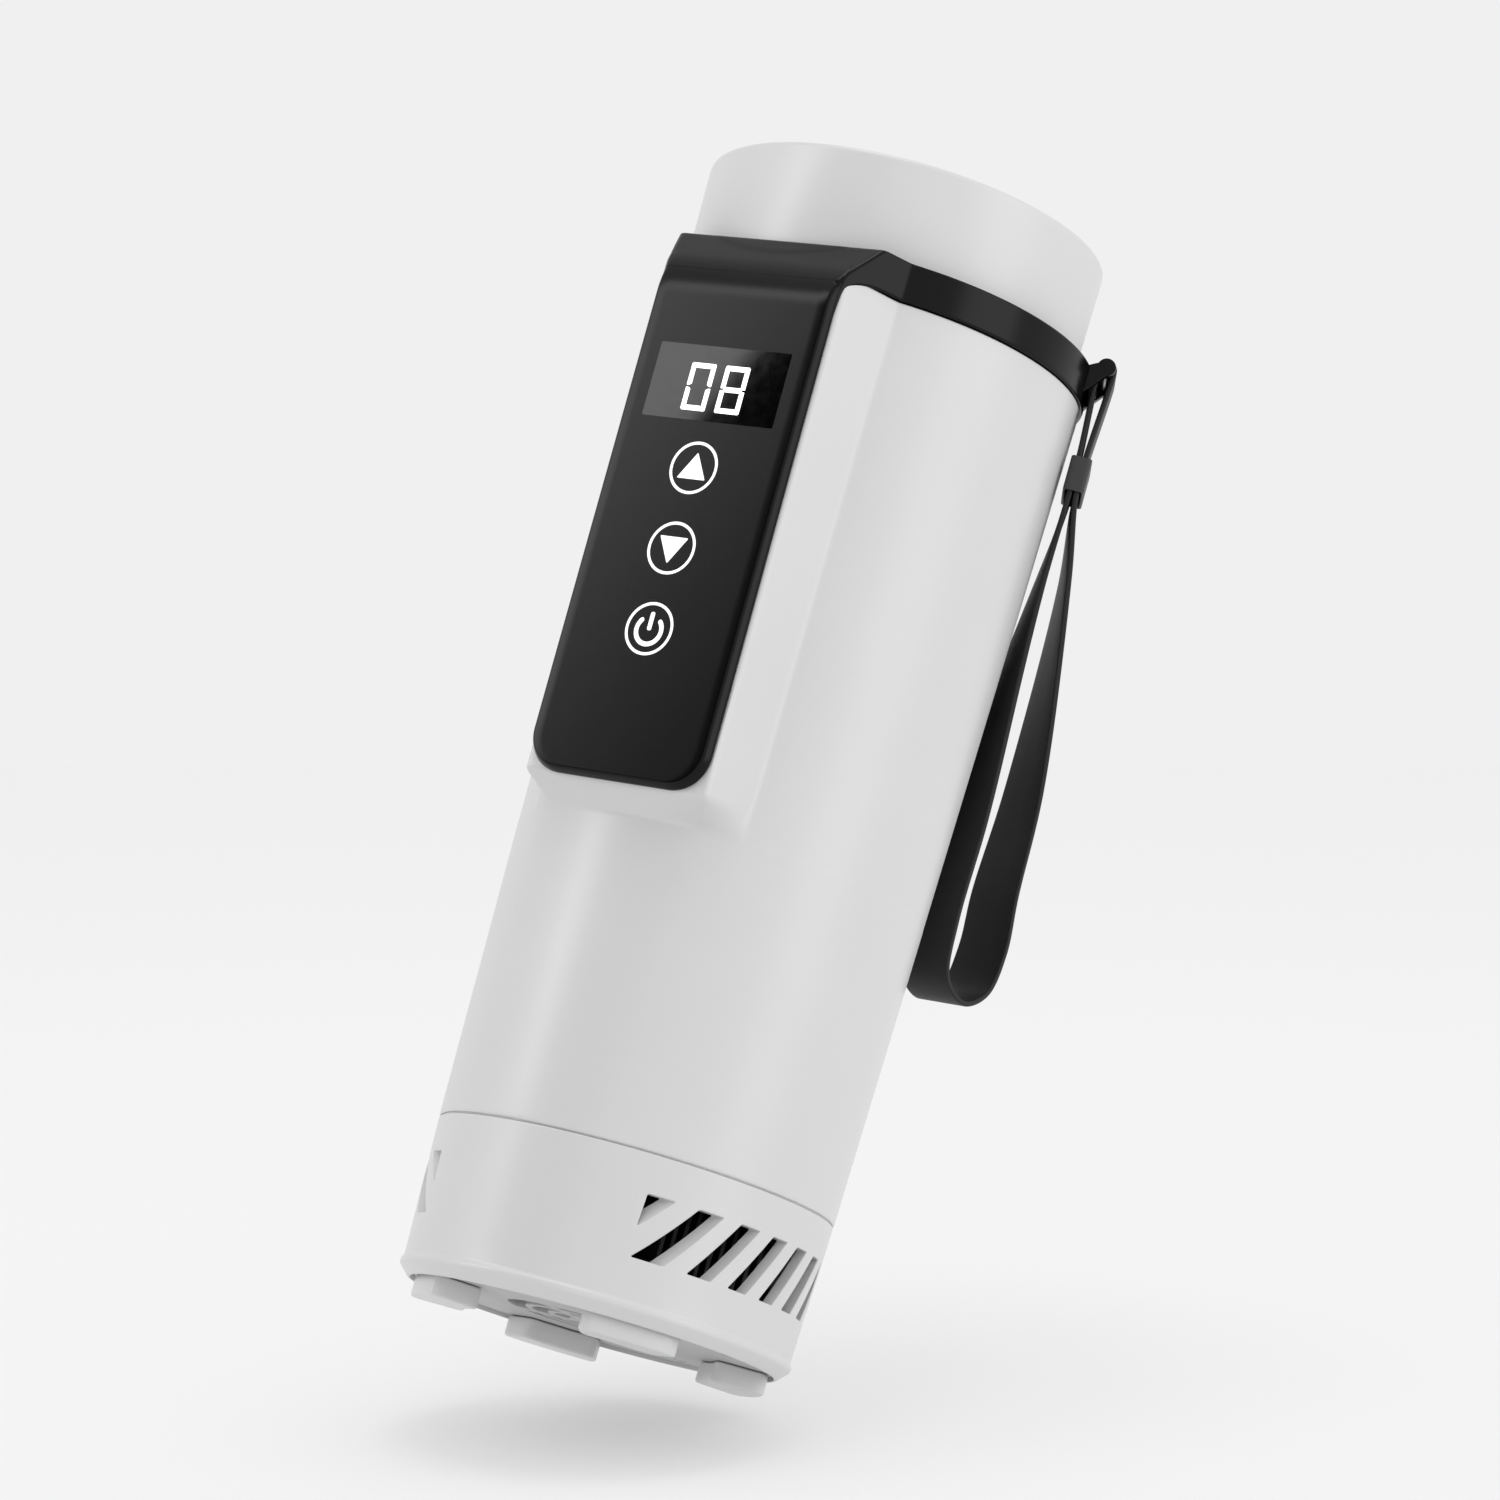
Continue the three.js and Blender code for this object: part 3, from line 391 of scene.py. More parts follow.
def slab(loop: Loop, profile: Sequence[tuple[float, float]]) -> Shape:
    """A solid stacked from one outline: each row is the outline moved out and set at a height."""
    rows = [np.column_stack([loop.at(o), np.full(len(loop.points), z)]) for o, z in profile]
    return surface(np.stack(rows), wrap_columns=True) + fan(rows[0]) + fan(rows[-1])


def soft_slab(loop: Loop, low: float, high: float, edge: float) -> Shape:
    """A slab whose lower and upper edges are rounded.

    Args:
        loop: The outline.
        low: Height of the lower face.
        high: Height of the upper face.
        edge: Radius of both edges.

    Returns:
        The closed slab.
    """
    bend = np.linspace(0, math.pi / 2, 5)
    rows = [(-edge * (1 - math.sin(a)), low + edge * (1 - math.cos(a))) for a in bend]
    rows += [(-edge * (1 - math.sin(a)), high - edge * (1 - math.cos(a))) for a in bend[::-1]]
    return slab(loop, rows)


# ---------------------------------------------------------------- finishes


Sockets = tuple[bpy.types.NodeSocket, bpy.types.NodeSocket]


def linear(colour: str) -> tuple[float, float, float, float]:
    """An sRGB hex colour as linear red, green and blue with alpha one."""
    parts = [int(colour[k : k + 2], 16) / 255 for k in (1, 3, 5)]
    return (*[c / 12.92 if c <= 0.04045 else ((c + 0.055) / 1.055) ** 2.4 for c in parts], 1.0)


def shade(colour: str, factor: float) -> tuple[float, float, float, float]:
    """An sRGB hex colour made linear and then lighter or darker by a factor."""
    r, g, b, _ = linear(colour)
    return (min(r * factor, 1), min(g * factor, 1), min(b * factor, 1), 1.0)


def add_node(tree: bpy.types.NodeTree, kind: str, inputs: dict | None = None, **settings) -> bpy.types.Node:
    """Adds one node.

    Args:
        tree: The material's node tree.
        kind: The node's type name.
        inputs: Socket name or number to a value, or to another node's output socket.
        settings: Attributes of the node itself.

    Returns:
        The new node.
    """
    made = tree.nodes.new(kind)
    for name, value in settings.items():
        setattr(made, name, value)
    for name, value in (inputs or {}).items():
        if isinstance(value, bpy.types.NodeSocket):
            tree.links.new(value, made.inputs[name])
        else:
            made.inputs[name].default_value = value
    return made


@dataclass(frozen=True)
class Finish:
    """A finish with a fine grain, a slow drift of tone and a gloss that varies with it.

    Sizes are real, in millimetres on the piece: grain_mm is the grain's width and grain_deep_mm its
    height, drift_mm the width of a patch of tone and drift its strength. stretch draws the pattern
    out along an axis, as brushing or winding does. glow is light that the surface gives off itself.
    """

    name: str
    colour: str
    roughness: float = 0.4
    metallic: float = 0.0
    specular: float = 0.5
    coat: float = 0.0
    grain_mm: float = 0.25
    grain_deep_mm: float = 0.004
    drift_mm: float = 18.0
    drift: float = 0.02
    gloss_drift: float = 0.05
    stretch: tuple[float, float, float] = (1.0, 1.0, 1.0)
    glow: float = 0.0

    def pattern(self, tree: bpy.types.NodeTree, place: bpy.types.NodeSocket) -> Sockets:
        """Colour and height of the finish at a place.

        Args:
            tree: The material's node tree.
            place: Object coordinates, in metres.

        Returns:
            The colour socket and the height socket.
        """
        slow = add_node(tree, "ShaderNodeTexNoise", {
            "Vector": place, "Scale": 1 / (self.drift_mm * MM), "Detail": 3.0,
        })
        tone = add_node(tree, "ShaderNodeValToRGB", {"Fac": slow.outputs["Fac"]})
        tone.color_ramp.elements[0].position = 0.3
        tone.color_ramp.elements[0].color = shade(self.colour, 1 - self.drift)
        tone.color_ramp.elements[1].position = 0.7
        tone.color_ramp.elements[1].color = shade(self.colour, 1 + self.drift)
        fine = add_node(tree, "ShaderNodeTexNoise", {
            "Vector": place, "Scale": 1 / (self.grain_mm * MM), "Detail": 2.0,
        })
        return tone.outputs["Color"], fine.outputs["Fac"]

    def material(self) -> bpy.types.Material:
        """The finish as a Blender material, made once and shared.

        Returns:
            The material.
        """
        made = bpy.data.materials.get(self.name)
        if made:
            return made
        made = bpy.data.materials.new(self.name)
        made.use_nodes = True
        tree = made.node_tree
        tree.nodes.clear()
        where = add_node(tree, "ShaderNodeTexCoord")
        place = add_node(tree, "ShaderNodeMapping", {
            "Vector": where.outputs["Object"], "Scale": self.stretch,
        })
        colour, height = self.pattern(tree, place.outputs["Vector"])
        gloss = add_node(tree, "ShaderNodeMapRange", {
            "Value": height, "From Min": 0.3, "From Max": 0.7,
            "To Min": max(self.roughness - self.gloss_drift, 0.02),
            "To Max": self.roughness + self.gloss_drift,
        })
        bump = add_node(tree, "ShaderNodeBump", {
            "Height": height, "Distance": self.grain_deep_mm * MM, "Strength": 1.0,
        })
        body = add_node(tree, "ShaderNodeBsdfPrincipled", {
            "Base Color": colour, "Roughness": gloss.outputs["Result"], "Normal": bump.outputs["Normal"],
            "Metallic": self.metallic, "Specular IOR Level": self.specular, "Coat Weight": self.coat,
        })
        if self.glow:
            tree.links.new(colour, body.inputs["Emission Color"])
            body.inputs["Emission Strength"].default_value = self.glow
        out = add_node(tree, "ShaderNodeOutputMaterial")
        tree.links.new(body.outputs["BSDF"], out.inputs["Surface"])
        return made


@dataclass(frozen=True)
class Cells(Finish):
    """Closed-cell foam: small rounded cells with darker walls between them."""

    def pattern(self, tree: bpy.types.NodeTree, place: bpy.types.NodeSocket) -> Sockets:
        """Cell distance drives both colour and height.

        Args:
            tree: The material's node tree.
            place: Object coordinates, in metres.

        Returns:
            The colour socket and the height socket.
        """
        cells = add_node(tree, "ShaderNodeTexVoronoi", {"Vector": place, "Scale": 1 / (self.grain_mm * MM)})
        tone = add_node(tree, "ShaderNodeValToRGB", {"Fac": cells.outputs["Distance"]})
        tone.color_ramp.elements[0].color = shade(self.colour, 1 + self.drift)
        tone.color_ramp.elements[1].color = shade(self.colour, 1 - 3 * self.drift)
        return tone.outputs["Color"], cells.outputs["Distance"]


@dataclass(frozen=True)
class Windings(Finish):
    """Copper wire laid side by side: bands of fine waves round each pole."""

    def pattern(self, tree: bpy.types.NodeTree, place: bpy.types.NodeSocket) -> Sockets:
        """A band wave gives the turns.

        Args:
            tree: The material's node tree.
            place: Object coordinates, in metres.

        Returns:
            The colour socket and the height socket.
        """
        wave = add_node(tree, "ShaderNodeTexWave", {
            "Vector": place, "Scale": 1 / (self.grain_mm * MM) / 3, "Distortion": 0.4,
        })
        tone = add_node(tree, "ShaderNodeValToRGB", {"Fac": wave.outputs["Fac"]})
        tone.color_ramp.elements[0].color = shade(self.colour, 0.45)
        tone.color_ramp.elements[1].color = shade(self.colour, 1.1)
        return tone.outputs["Color"], wave.outputs["Fac"]


@dataclass(frozen=True)
class Tracks(Finish):
    """Solder mask over copper tracks: a brick pattern of thin raised lines."""

    def pattern(self, tree: bpy.types.NodeTree, place: bpy.types.NodeSocket) -> Sockets:
        """Bricks give the tracks between the pads.

        Args:
            tree: The material's node tree.
            place: Object coordinates, in metres.

        Returns:
            The colour socket and the height socket.
        """
        bricks = add_node(tree, "ShaderNodeTexBrick", {
            "Vector": place, "Scale": 1 / (self.grain_mm * MM), "Mortar Size": 0.04,
            "Color1": shade(self.colour, 1.0), "Color2": shade(self.colour, 1.25),
            "Mortar": shade(self.colour, 1.9),
        })
        return bricks.outputs["Color"], bricks.outputs["Fac"]


class Look(Enum):
    """The finishes of the flask."""

    # Moulded ABS with a fine spark-eroded skin: a soft sheen, and no mirror.
    CASE = Finish("white_case", "#D0D0D0", 0.33, grain_mm=0.35, grain_deep_mm=0.0025, drift=0.006,
                  specular=0.5)
    # The same plastic with a coarser, duller skin where the hand never reaches, its white painted a darker
    # grey as painted shade for the underside.
    UNDERSIDE_PAINTED_SHADE = Finish("white_underside_painted_shade", "#B2B2B2", 0.48, grain_mm=0.3, grain_deep_mm=0.004, drift=0.01)
    # Warm white food-grade plastic of the mouth and the plug.
    INNER = Finish("white_inner", "#DADAD8", 0.42, grain_mm=0.4, drift=0.01)
    # Black ABS from a polished mould: smooth and deep, with broad soft reflections.
    PANEL = Finish("black_panel", "#050506", 0.22, grain_mm=0.3, grain_deep_mm=0.0002, gloss_drift=0.01,
                   specular=0.18)
    # Smoked acrylic over the display: a mirror with nearly no colour of its own.
    GLASS = Finish("smoked_window", "#020203", 0.05, grain_mm=2.0, grain_deep_mm=0.0, gloss_drift=0.01,
                   specular=0.3)
    # Screen-printed ink over lit keys, and the lit segments: flat white that glows a little.
    PRINT = Finish("white_print", "#F2F2F2", 0.5, grain_mm=0.2, drift=0.01, glow=0.55)
    DIGITS = Finish("lit_digits", "#FFFFFF", 0.5, grain_mm=0.3, drift=0.005, glow=1.1)
    # Moulded rubber: dark, with a dull bloom; the sleeve is paler from the grit of its mould.
    SLEEVE = Finish("sleeve_rubber", "#2E2E2F", 0.5, grain_mm=0.3, grain_deep_mm=0.006, drift=0.06)
    RUBBER = Finish("strap_rubber", "#0F0F10", 0.5, grain_mm=0.3, grain_deep_mm=0.006, drift=0.08,
                    specular=0.4)
    # Translucent silicone lip: pale grey and soft.
    SILICONE = Finish("seal_silicone", "#C4C8CB", 0.5, grain_mm=0.3, drift=0.03)
    # Drawn and anodised aluminium: fine upright draw lines that smear the reflections.
    CUP = Finish("anodised_cup", "#C9CBCE", 0.3, 1.0, grain_mm=0.2, grain_deep_mm=0.003,
                 stretch=(1, 1, 0.08), drift=0.04)
    # Extruded and black-anodised aluminium: nearly black, with a dull shine along the fins.
    FINS = Finish("black_anodised_fins", "#121315", 0.45, 0.3, grain_mm=0.15, grain_deep_mm=0.003,
                  stretch=(0.06, 1, 1), drift=0.06)
    # Bright turned steel and brass: small sharp highlights.
    STEEL = Finish("bright_steel", "#B4B6B8", 0.28, 1.0, grain_mm=0.1, grain_deep_mm=0.002, drift=0.05)
    BRASS = Finish("bearing_brass", "#B99A52", 0.33, 1.0, grain_mm=0.12, grain_deep_mm=0.002, drift=0.07)
    # Enamelled copper wire, drawn thicker than the real one so that its turns show.
    COPPER = Windings("enamelled_copper", "#B8693F", 0.35, 1.0, grain_mm=0.35, grain_deep_mm=0.05)
    # Pressed and sintered ferrite: dark grey and powdery.
    FERRITE = Finish("pressed_ferrite", "#38393B", 0.62, grain_mm=0.15, grain_deep_mm=0.01, drift=0.12)
    # Foamed polyethylene, its cells drawn nearly a millimetre wide so that they show.
    FOAM = Cells("closed_cell_foam", "#D9D4C4", 0.95, grain_mm=0.9, grain_deep_mm=0.12, drift=0.05)
    # Green solder mask over copper tracks, under a gloss of lacquer.
    BOARD = Tracks("green_board", "#1E5A3A", 0.45, grain_mm=6.0, grain_deep_mm=0.03)
    # Fired alumina: chalky white.
    CERAMIC = Finish("fired_ceramic", "#EFEDE7", 0.55, grain_mm=0.12, grain_deep_mm=0.006, drift=0.03)
    # Filled silicone sheet: matt blue-grey.
    PAD = Finish("thermal_pad", "#8F959B", 0.8, grain_mm=0.2, grain_deep_mm=0.02, drift=0.06)
    # Laminated foil pouch: bright, with slight creases.
    FOIL = Finish("cell_foil", "#B9BEC6", 0.34, 0.8, grain_mm=1.8, grain_deep_mm=0.08, drift=0.08)
    # Glass-filled plastic of the fan: black with a slight sheen.
    FAN = Finish("fan_plastic", "#191A1B", 0.45, grain_mm=0.25, grain_deep_mm=0.006, drift=0.08)


FRAME_LOOKS: dict[str, Look] = {
    "control_board": Look.BOARD, "charge_board": Look.BOARD, "display_module": Look.FERRITE,
    "battery_cell_1": Look.FOIL, "battery_cell_2": Look.FOIL, "insulation_sleeve": Look.FOAM,
    "lid_foam": Look.FOAM, "cold_block": Look.CUP, "heat_sink": Look.FINS,
    "thermal_pad_cold": Look.PAD, "thermal_pad_hot": Look.PAD, "peltier_module": Look.CERAMIC,
    "support_plate": Look.INNER, "temp_sensor": Look.BRASS, "fan_bearing": Look.BRASS,
    "fan_frame": Look.FAN, "fan_rotor": Look.FAN, "fan_stator": Look.COPPER,
    "fan_magnet": Look.FERRITE, "wiring_loom": Look.RUBBER,
}


# ---------------------------------------------------------------- pieces


def build(name: str, shape: Shape, look: Look, body: str, stands_for: Sequence[str] = (),
          sharp_deg: float = 38.0) -> bpy.types.Object:
    """Makes one finished piece from a shape.

    Args:
        name: The piece's name.
        shape: Its vertices and faces, in millimetres about the axis.
        look: Its finish.
        body: The moving body it rides on.
        stands_for: Nodes of the frame that it replaces.
        sharp_deg: Angle above which an edge is shaded sharp.

    Returns:
        The new object, at the origin, with its place in its mesh.
    """
    mesh = bpy.data.meshes.new(name)
    faces = [face for block in shape.faces for face in block.tolist()]
    mesh.from_pydata(((shape.points + AXIS) * MM).tolist(), [], faces)
    work = bmesh.new()
    work.from_mesh(mesh)
    bmesh.ops.remove_doubles(work, verts=work.verts, dist=2e-6)
    bmesh.ops.dissolve_degenerate(work, edges=work.edges, dist=1e-7)
    bmesh.ops.recalc_face_normals(work, faces=work.faces)
    work.to_mesh(mesh)
    work.free()
    mesh.shade_smooth()
    mesh.set_sharp_from_angle(angle=math.radians(sharp_deg))
    mesh.materials.append(look.value.material())
    made = bpy.data.objects.new(name, mesh)
    bpy.context.scene.collection.objects.link(made)
    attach(made, body)
    if stands_for:
        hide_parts(*stands_for)
    LOG.info("%s: %d faces, %s", name, len(mesh.polygons), look.value.name)
    return made


@dataclass
class Front:
    """Planes of the raised front: the touch panel, the plinth under it and their corners."""

    proud: float = 6.6
    panel_t: float = 2.2
    half: float = 21.4
    bevel: float = 1.2
    low: float = 108.5
    corner: float = 8.0
    slope_drop: float = 2.6
    slope_back: float = 8.6
    foot: float = 5.0
    flare: float = 5.0

    @property
    def reach(self) -> float:
        """Axis to the panel's face, carried down to the ground."""
        return body_radius(0.0) + self.proud

    @property
    def crease(self) -> float:
        """Angle from the panel's normal at which the plinth meets the round body."""
        return math.asin((self.half + self.flare) / body_radius((self.low + BAND_Z) / 2))

    def face(self, z: np.ndarray) -> np.ndarray:
        """Distance of the panel's face in front of the axis at a height."""
        return self.reach + TAPER * z

    def plinth(self, z: np.ndarray) -> np.ndarray:
        """Distance of the plinth's face in front of the axis at a height."""
        return self.face(z) - self.panel_t - GAP

    def sloped(self, z: np.ndarray) -> np.ndarray:
        """Distance of the plane that runs back from the panel's top to the rim."""
        start = BAND_Z - self.slope_drop
        return self.face(start) - self.slope_back * (z - start) / (BAND_TOP - start)

    @staticmethod
    def line(theta: np.ndarray, a: tuple, b: tuple) -> np.ndarray:
        """Polar radius of the line through two points given as side and forward.

        The line's distance from the axis over the cosine of the angle off its normal.

        Args:
            theta: Angles from the panel's normal.
            a: First point.
            b: Second point.

        Returns:
            The radius at each angle, and one where the line lies behind.
        """
        nx, ny = a[1] - b[1], b[0] - a[0]
        top = nx * a[0] + ny * a[1]
        nx, ny, top = nx * np.sign(top), ny * np.sign(top), np.abs(top)
        under = nx * np.abs(np.sin(theta)) + ny * np.cos(theta)
        found = top / np.maximum(under, 1e-3)
        return np.where(np.cos(theta) > 0.6, found, 1.0)

    def ahead(self, theta: np.ndarray, distance: np.ndarray) -> np.ndarray:
        """Polar radius of a plane across the front."""
        cos = np.cos(theta)
        return np.where(cos > 0.1, distance / np.maximum(cos, 0.1), 1e3 + 0 * distance)


def around(front_step: float = 0.6, rest_step: float = 2.0, front_deg: float = 46.0) -> np.ndarray:
    """Angles from the panel's normal, close together across the front and wider behind.

    Args:
        front_step: Step across the front, in degrees.
        rest_step: Step elsewhere.
        front_deg: Half of the angle with the close steps.

    Returns:
        The angles, in radians.
    """
    fine = np.arange(-front_deg, front_deg, front_step)
    coarse = np.arange(front_deg, 360 - front_deg, rest_step)
    return np.radians(np.concatenate([fine, coarse]))


def polar_grid(r: np.ndarray, theta: np.ndarray, z: np.ndarray) -> np.ndarray:
    """Points at a radius and an angle from the panel's normal: X is sine, -Y is cosine."""
    return np.stack([r * np.sin(theta), -r * np.cos(theta), z + 0 * theta], -1)


@dataclass
class Casing:
    """Tapered white body with the raised plinth behind the touch panel."""

    front: Front
    edge: float = 0.35
    neck_top: float = BAND_TOP - 4.3

    def radius(self, theta: np.ndarray, z: np.ndarray) -> np.ndarray:
        """Outer radius.

        The larger of the cone and the plinth, blended; the plinth is the smaller of its face and
        its side facet, and below its foot it runs back to the cone over the foot's height.

        Args:
            theta: Angles from the panel's normal.
            z: Heights.

        Returns:
            The radius at each height and angle.
        """
        f = self.front
        cone = body_radius(z) + 0 * theta
        flat = f.ahead(theta, f.plinth(z))
        rim = (body_radius(z) * math.sin(f.crease), body_radius(z) * math.cos(f.crease))
        side = f.line(theta, (f.half + 0.4, f.plinth(z)), rim)
        raised = soft_min(flat, side, 0.9)
        climb = (z - (f.low - f.foot)) / f.foot
        foot = cone + np.clip(climb, -1, 3) * (raised - cone)
        raised = np.where(climb < 0, cone - 0.4, soft_min(raised, np.where(raised > cone, foot, raised), 1.0))
        return soft_max(cone, raised, 0.8)

    def make(self) -> None:
        """Builds the casing as one closed wall: up the outside, over the neck and down the inside."""
        theta = around()[None, :]
        low = SEAM_Z + GAP / 2
        bend = np.linspace(0, math.pi / 2, 4)
        rise = low + self.edge * (1 - np.cos(bend))
        inset = self.edge * (1 - np.sin(bend))
        z_foot = np.arange(self.front.low - 9, self.front.low + 6, 0.5)
        z_out = np.concatenate([
            rise, np.linspace(low + 1, z_foot[0] - 0.5, 24), z_foot,
            np.linspace(z_foot[-1] + 1, BAND_Z - 1, 40), BAND_Z - (rise[::-1] - low),
        ])
        pull = np.concatenate([inset, np.zeros(len(z_out) - 2 * len(inset)), inset[::-1]])
        outer = self.radius(theta, z_out[:, None]) - pull[:, None]
        neck = np.array([
            (NECK_R, BAND_Z), (NECK_R, self.neck_top), (NECK_R - WALL, self.neck_top),
            (NECK_R - WALL, BAND_Z - WALL),
        ])
        z_in = np.linspace(BAND_Z - 2 * WALL, low - 0.1, 40)
        inner = self.radius(theta, z_in[:, None]) - WALL
        lip = low - 0.22
        step = np.array([(SEAM_R - 1.2, lip), (SEAM_R - 0.5, lip), (SEAM_R - 0.5, low)])
        rows = np.vstack([outer, neck[:, :1] + 0 * theta, inner, step[:, :1] + 0 * theta])
        heights = np.concatenate([z_out, neck[:, 1], z_in, step[:, 1]])
        grid = polar_grid(rows, theta, heights[:, None])
        shape = surface(grid, wrap_rows=True, wrap_columns=True)
        build("casing", shape, Look.CASE, "cooler", ["body_shell"])


@dataclass
class TouchPanel:
    """Black front plate, rim band, strap lug, display window, digits and printed keys."""

    front: Front
    window_w: float = 31.6
    window_h: float = 16.0
    window_z: float = 192.5
    key_z: float = 174.5
    key_pitch: float = 17.2
    key_r: float = 5.3
    line: float = 0.62
    digit_w: float = 5.9
    digit_h: float = 10.2
    digit_gap: float = 2.3
    stroke: float = 1.1
    slope_reach: float = 4.0  # blend between the face and the slope above it
    band_edge: float = 0.45
    fillet: float = 4.5  # rounding where the band turns down beside the plate
    tongue_z: float = 211.0  # lowest point of the band, hidden behind the plate
    hidden_z: float = 216.5  # height up to which the plate covers the band
    shelf_z: float = 226.75  # step inside the band, under the lid's edge
    shelf_r: float = 44.6
    lid_gap_r: float = 43.35
    ear_from: float = 6.3
    ear_to: float = 8.5

    def plate_loop(self) -> Loop:
        """Outline of the plate in side and height: square above, rounded below.

        Returns:
            The outline, anticlockwise.
        """
        f = self.front
        top = BAND_Z - 0.5
        a = np.linspace(0, math.pi / 2, 15)
        corner_x = f.half - f.corner + f.corner * np.sin(a)
        corner_z = f.low + f.corner - f.corner * np.cos(a)
        straight = np.linspace(f.low + f.corner, 208, 40)[1:]
        side_z = np.concatenate([straight, np.arange(209, top, 0.6), [top]])
        right = np.column_stack([np.full(len(side_z), f.half), side_z])
        across = np.linspace(f.half, -f.half, 30)[1:-1]
        upper = np.column_stack([across, np.full(len(across), top)])
        foot = np.linspace(-(f.half - f.corner), f.half - f.corner, 16)[1:-1]
        lower = np.column_stack([foot, np.full(len(foot), f.low)])
        bend = np.column_stack([corner_x, corner_z])
        left = right[::-1] * (-1, 1)
        return Loop(np.vstack([lower, bend, right, upper, left, (bend * (-1, 1))[::-1]]))

    def plate(self) -> Shape:
        """The black plate, with its front edge rounded.

        Rows are the outline drawn in step by step; each row stands out of the plinth by a share
        of the plate's thickness, which a quarter ellipse gives over the bevel.

        Returns:
            The closed plate.
        """
        f = self.front
        loop = self.plate_loop()
        rows = [(0.0, 0.02), (0.0, 0.30)]
        for t in np.linspace(0, 1, 9):
            rise = 0.42 + 0.58 * math.sin(t * math.pi / 2) ** 0.9
            rows.append((f.bevel * (0.12 + 0.88 * t), rise))
        made = []
        for inset, share in rows:
            ring = loop.points + self.inward(loop, inset)
            made.append(self.on_plate(ring, share))
        edge = loop.points + self.inward(loop, f.bevel)
        for share in (0.9, 0.75, 0.55, 0.35, 0.15, 0.0):
            made.append(self.on_plate(edge * (share, 1), 1.0))
        back = self.on_plate(loop.points * (0, 1), 0.02)
        grid = np.stack([back, *made])
        return surface(grid, wrap_columns=True)

    def inward(self, loop: Loop, inset: float) -> np.ndarray:
        """How far each point of the outline moves to be drawn in, keeping its top row level.

        Args:
            loop: The plate's outline.
            inset: Distance to draw in by.

        Returns:
            The move of each point, side and height.
        """
        drawn = loop.at(-inset) - loop.points
        top = loop.points[:, 1] > BAND_Z - 1
        side = np.sign(loop.points[:, 0]) * np.minimum(inset, np.abs(loop.points[:, 0]))
        corner = top & (np.abs(loop.points[:, 0]) > self.front.half - 0.01)
        drawn[top] = 0
        drawn[corner, 0] = -side[corner]
        inner = top & ~corner
        drawn[inner, 0] = -inset * loop.points[inner, 0] / self.front.half
        return drawn

    def on_plate(self, spots: np.ndarray, share: float) -> np.ndarray:
        """Points of side and height put a share of the way from the plinth to the panel's face.

        Args:
            spots: Side and height of each point.
            share: Zero at the plinth and one at the face.

        Returns:
            The points in space.
        """
        f = self.front
        z = spots[:, 1]
        back = f.plinth(z) + GAP
        sink = np.clip((217.0 - z) * 0.006, -0.03, 0.02)  # keeps clear of the band's own surface
        ahead = soft_min(f.face(z), f.sloped(z), self.slope_reach) + sink
        return np.column_stack([spots[:, 0], -(back + share * (ahead - back)), z])

    def band_radius(self, theta: np.ndarray, z: np.ndarray) -> np.ndarray:
        """Outer radius of the black band.

        The larger of the ring and the raised corner, blended; the corner is the smallest of the
        front plane, the bevel, the side facet and the plane that slopes back to the rim.

        Args:
            theta: Angles from the panel's normal.
            z: Heights.

        Returns:
            The radius at each height and angle.
        """
        f = self.front
        face = f.face(z)
        bevel = f.line(theta, (f.half - f.bevel, face), (f.half + 0.3, face - f.panel_t))
        rim = (BAND_R * math.sin(f.crease + 0.01), BAND_R * math.cos(f.crease + 0.01))
        side = f.line(theta, (f.half + 0.6, face - f.panel_t + 0.2), rim)
        corner = soft_min(f.ahead(theta, face), f.ahead(theta, f.sloped(z)), self.slope_reach)
        corner = soft_min(soft_min(corner, bevel, 0.9), side, 1.4)
        ring = soft_min(BAND_R + 0 * corner, f.ahead(theta, f.sloped(z)), 0.5)
        return np.maximum(soft_max(ring, corner, 0.5), self.shelf_r - GAP)

    def band(self) -> Shape:
        """The band: up the outside from a lower edge that dips to meet the plate, then inside.

        Returns:
            The closed band.
        """
        theta = around(0.35, 2.0)[None, :]
        half, fillet, edge = self.front.half, self.fillet, self.band_edge
        side = np.abs(self.band_radius(theta, np.array([[self.hidden_z]])) * np.sin(theta))
        behind = np.cos(theta) < 0
        reach = np.clip(half + 0.3 + fillet - side, 0, fillet)
        low = BAND_Z + GAP - (fillet - np.sqrt(np.maximum(fillet**2 - reach**2, 0)))
        low = np.where(side < half + 0.22, self.tongue_z, low)
        low = np.where(behind, BAND_Z + GAP, low)
        bend = np.linspace(0, math.pi / 2, 5)
        share = np.linspace(0, 1, 26)[:, None]
        z_mid = low + edge + share * (BAND_TOP - low - 2 * edge)
        z_low = low + edge * (1 - np.cos(bend[:-1]))[:, None] + 0 * theta
        z_top = BAND_TOP - edge * (1 - np.cos(bend[-2::-1]))[:, None] + 0 * theta
        pull_low = edge * (1 - np.sin(bend[:-1]))[:, None] + 0 * theta
        z_out = np.vstack([z_low, z_mid, z_top])
        pull = np.vstack([pull_low, 0 * z_mid, pull_low[::-1]])
        buried = np.where((side < half - 0.2) & ~behind & (z_out < self.hidden_z), 0.25, 0.0)
        outer = self.band_radius(theta, z_out) - pull - buried
        inside = [
            (self.lid_gap_r + 0.3, BAND_TOP), (self.lid_gap_r, BAND_TOP - 0.3),
            (self.lid_gap_r, self.shelf_z), (self.shelf_r, self.shelf_z),
        ]
        inner_r = np.vstack([radius + 0 * theta for radius, _ in inside])
        inner_z = np.vstack([height + 0 * theta for _, height in inside])
        base_r = np.where(low < BAND_Z, self.band_radius(theta, low) - 2.0, self.shelf_r)
        r = np.vstack([outer, inner_r, base_r])
        z = np.vstack([z_out, inner_z, low])
        grid = polar_grid(r, theta, z)
        return surface(grid, wrap_rows=True, wrap_columns=True)

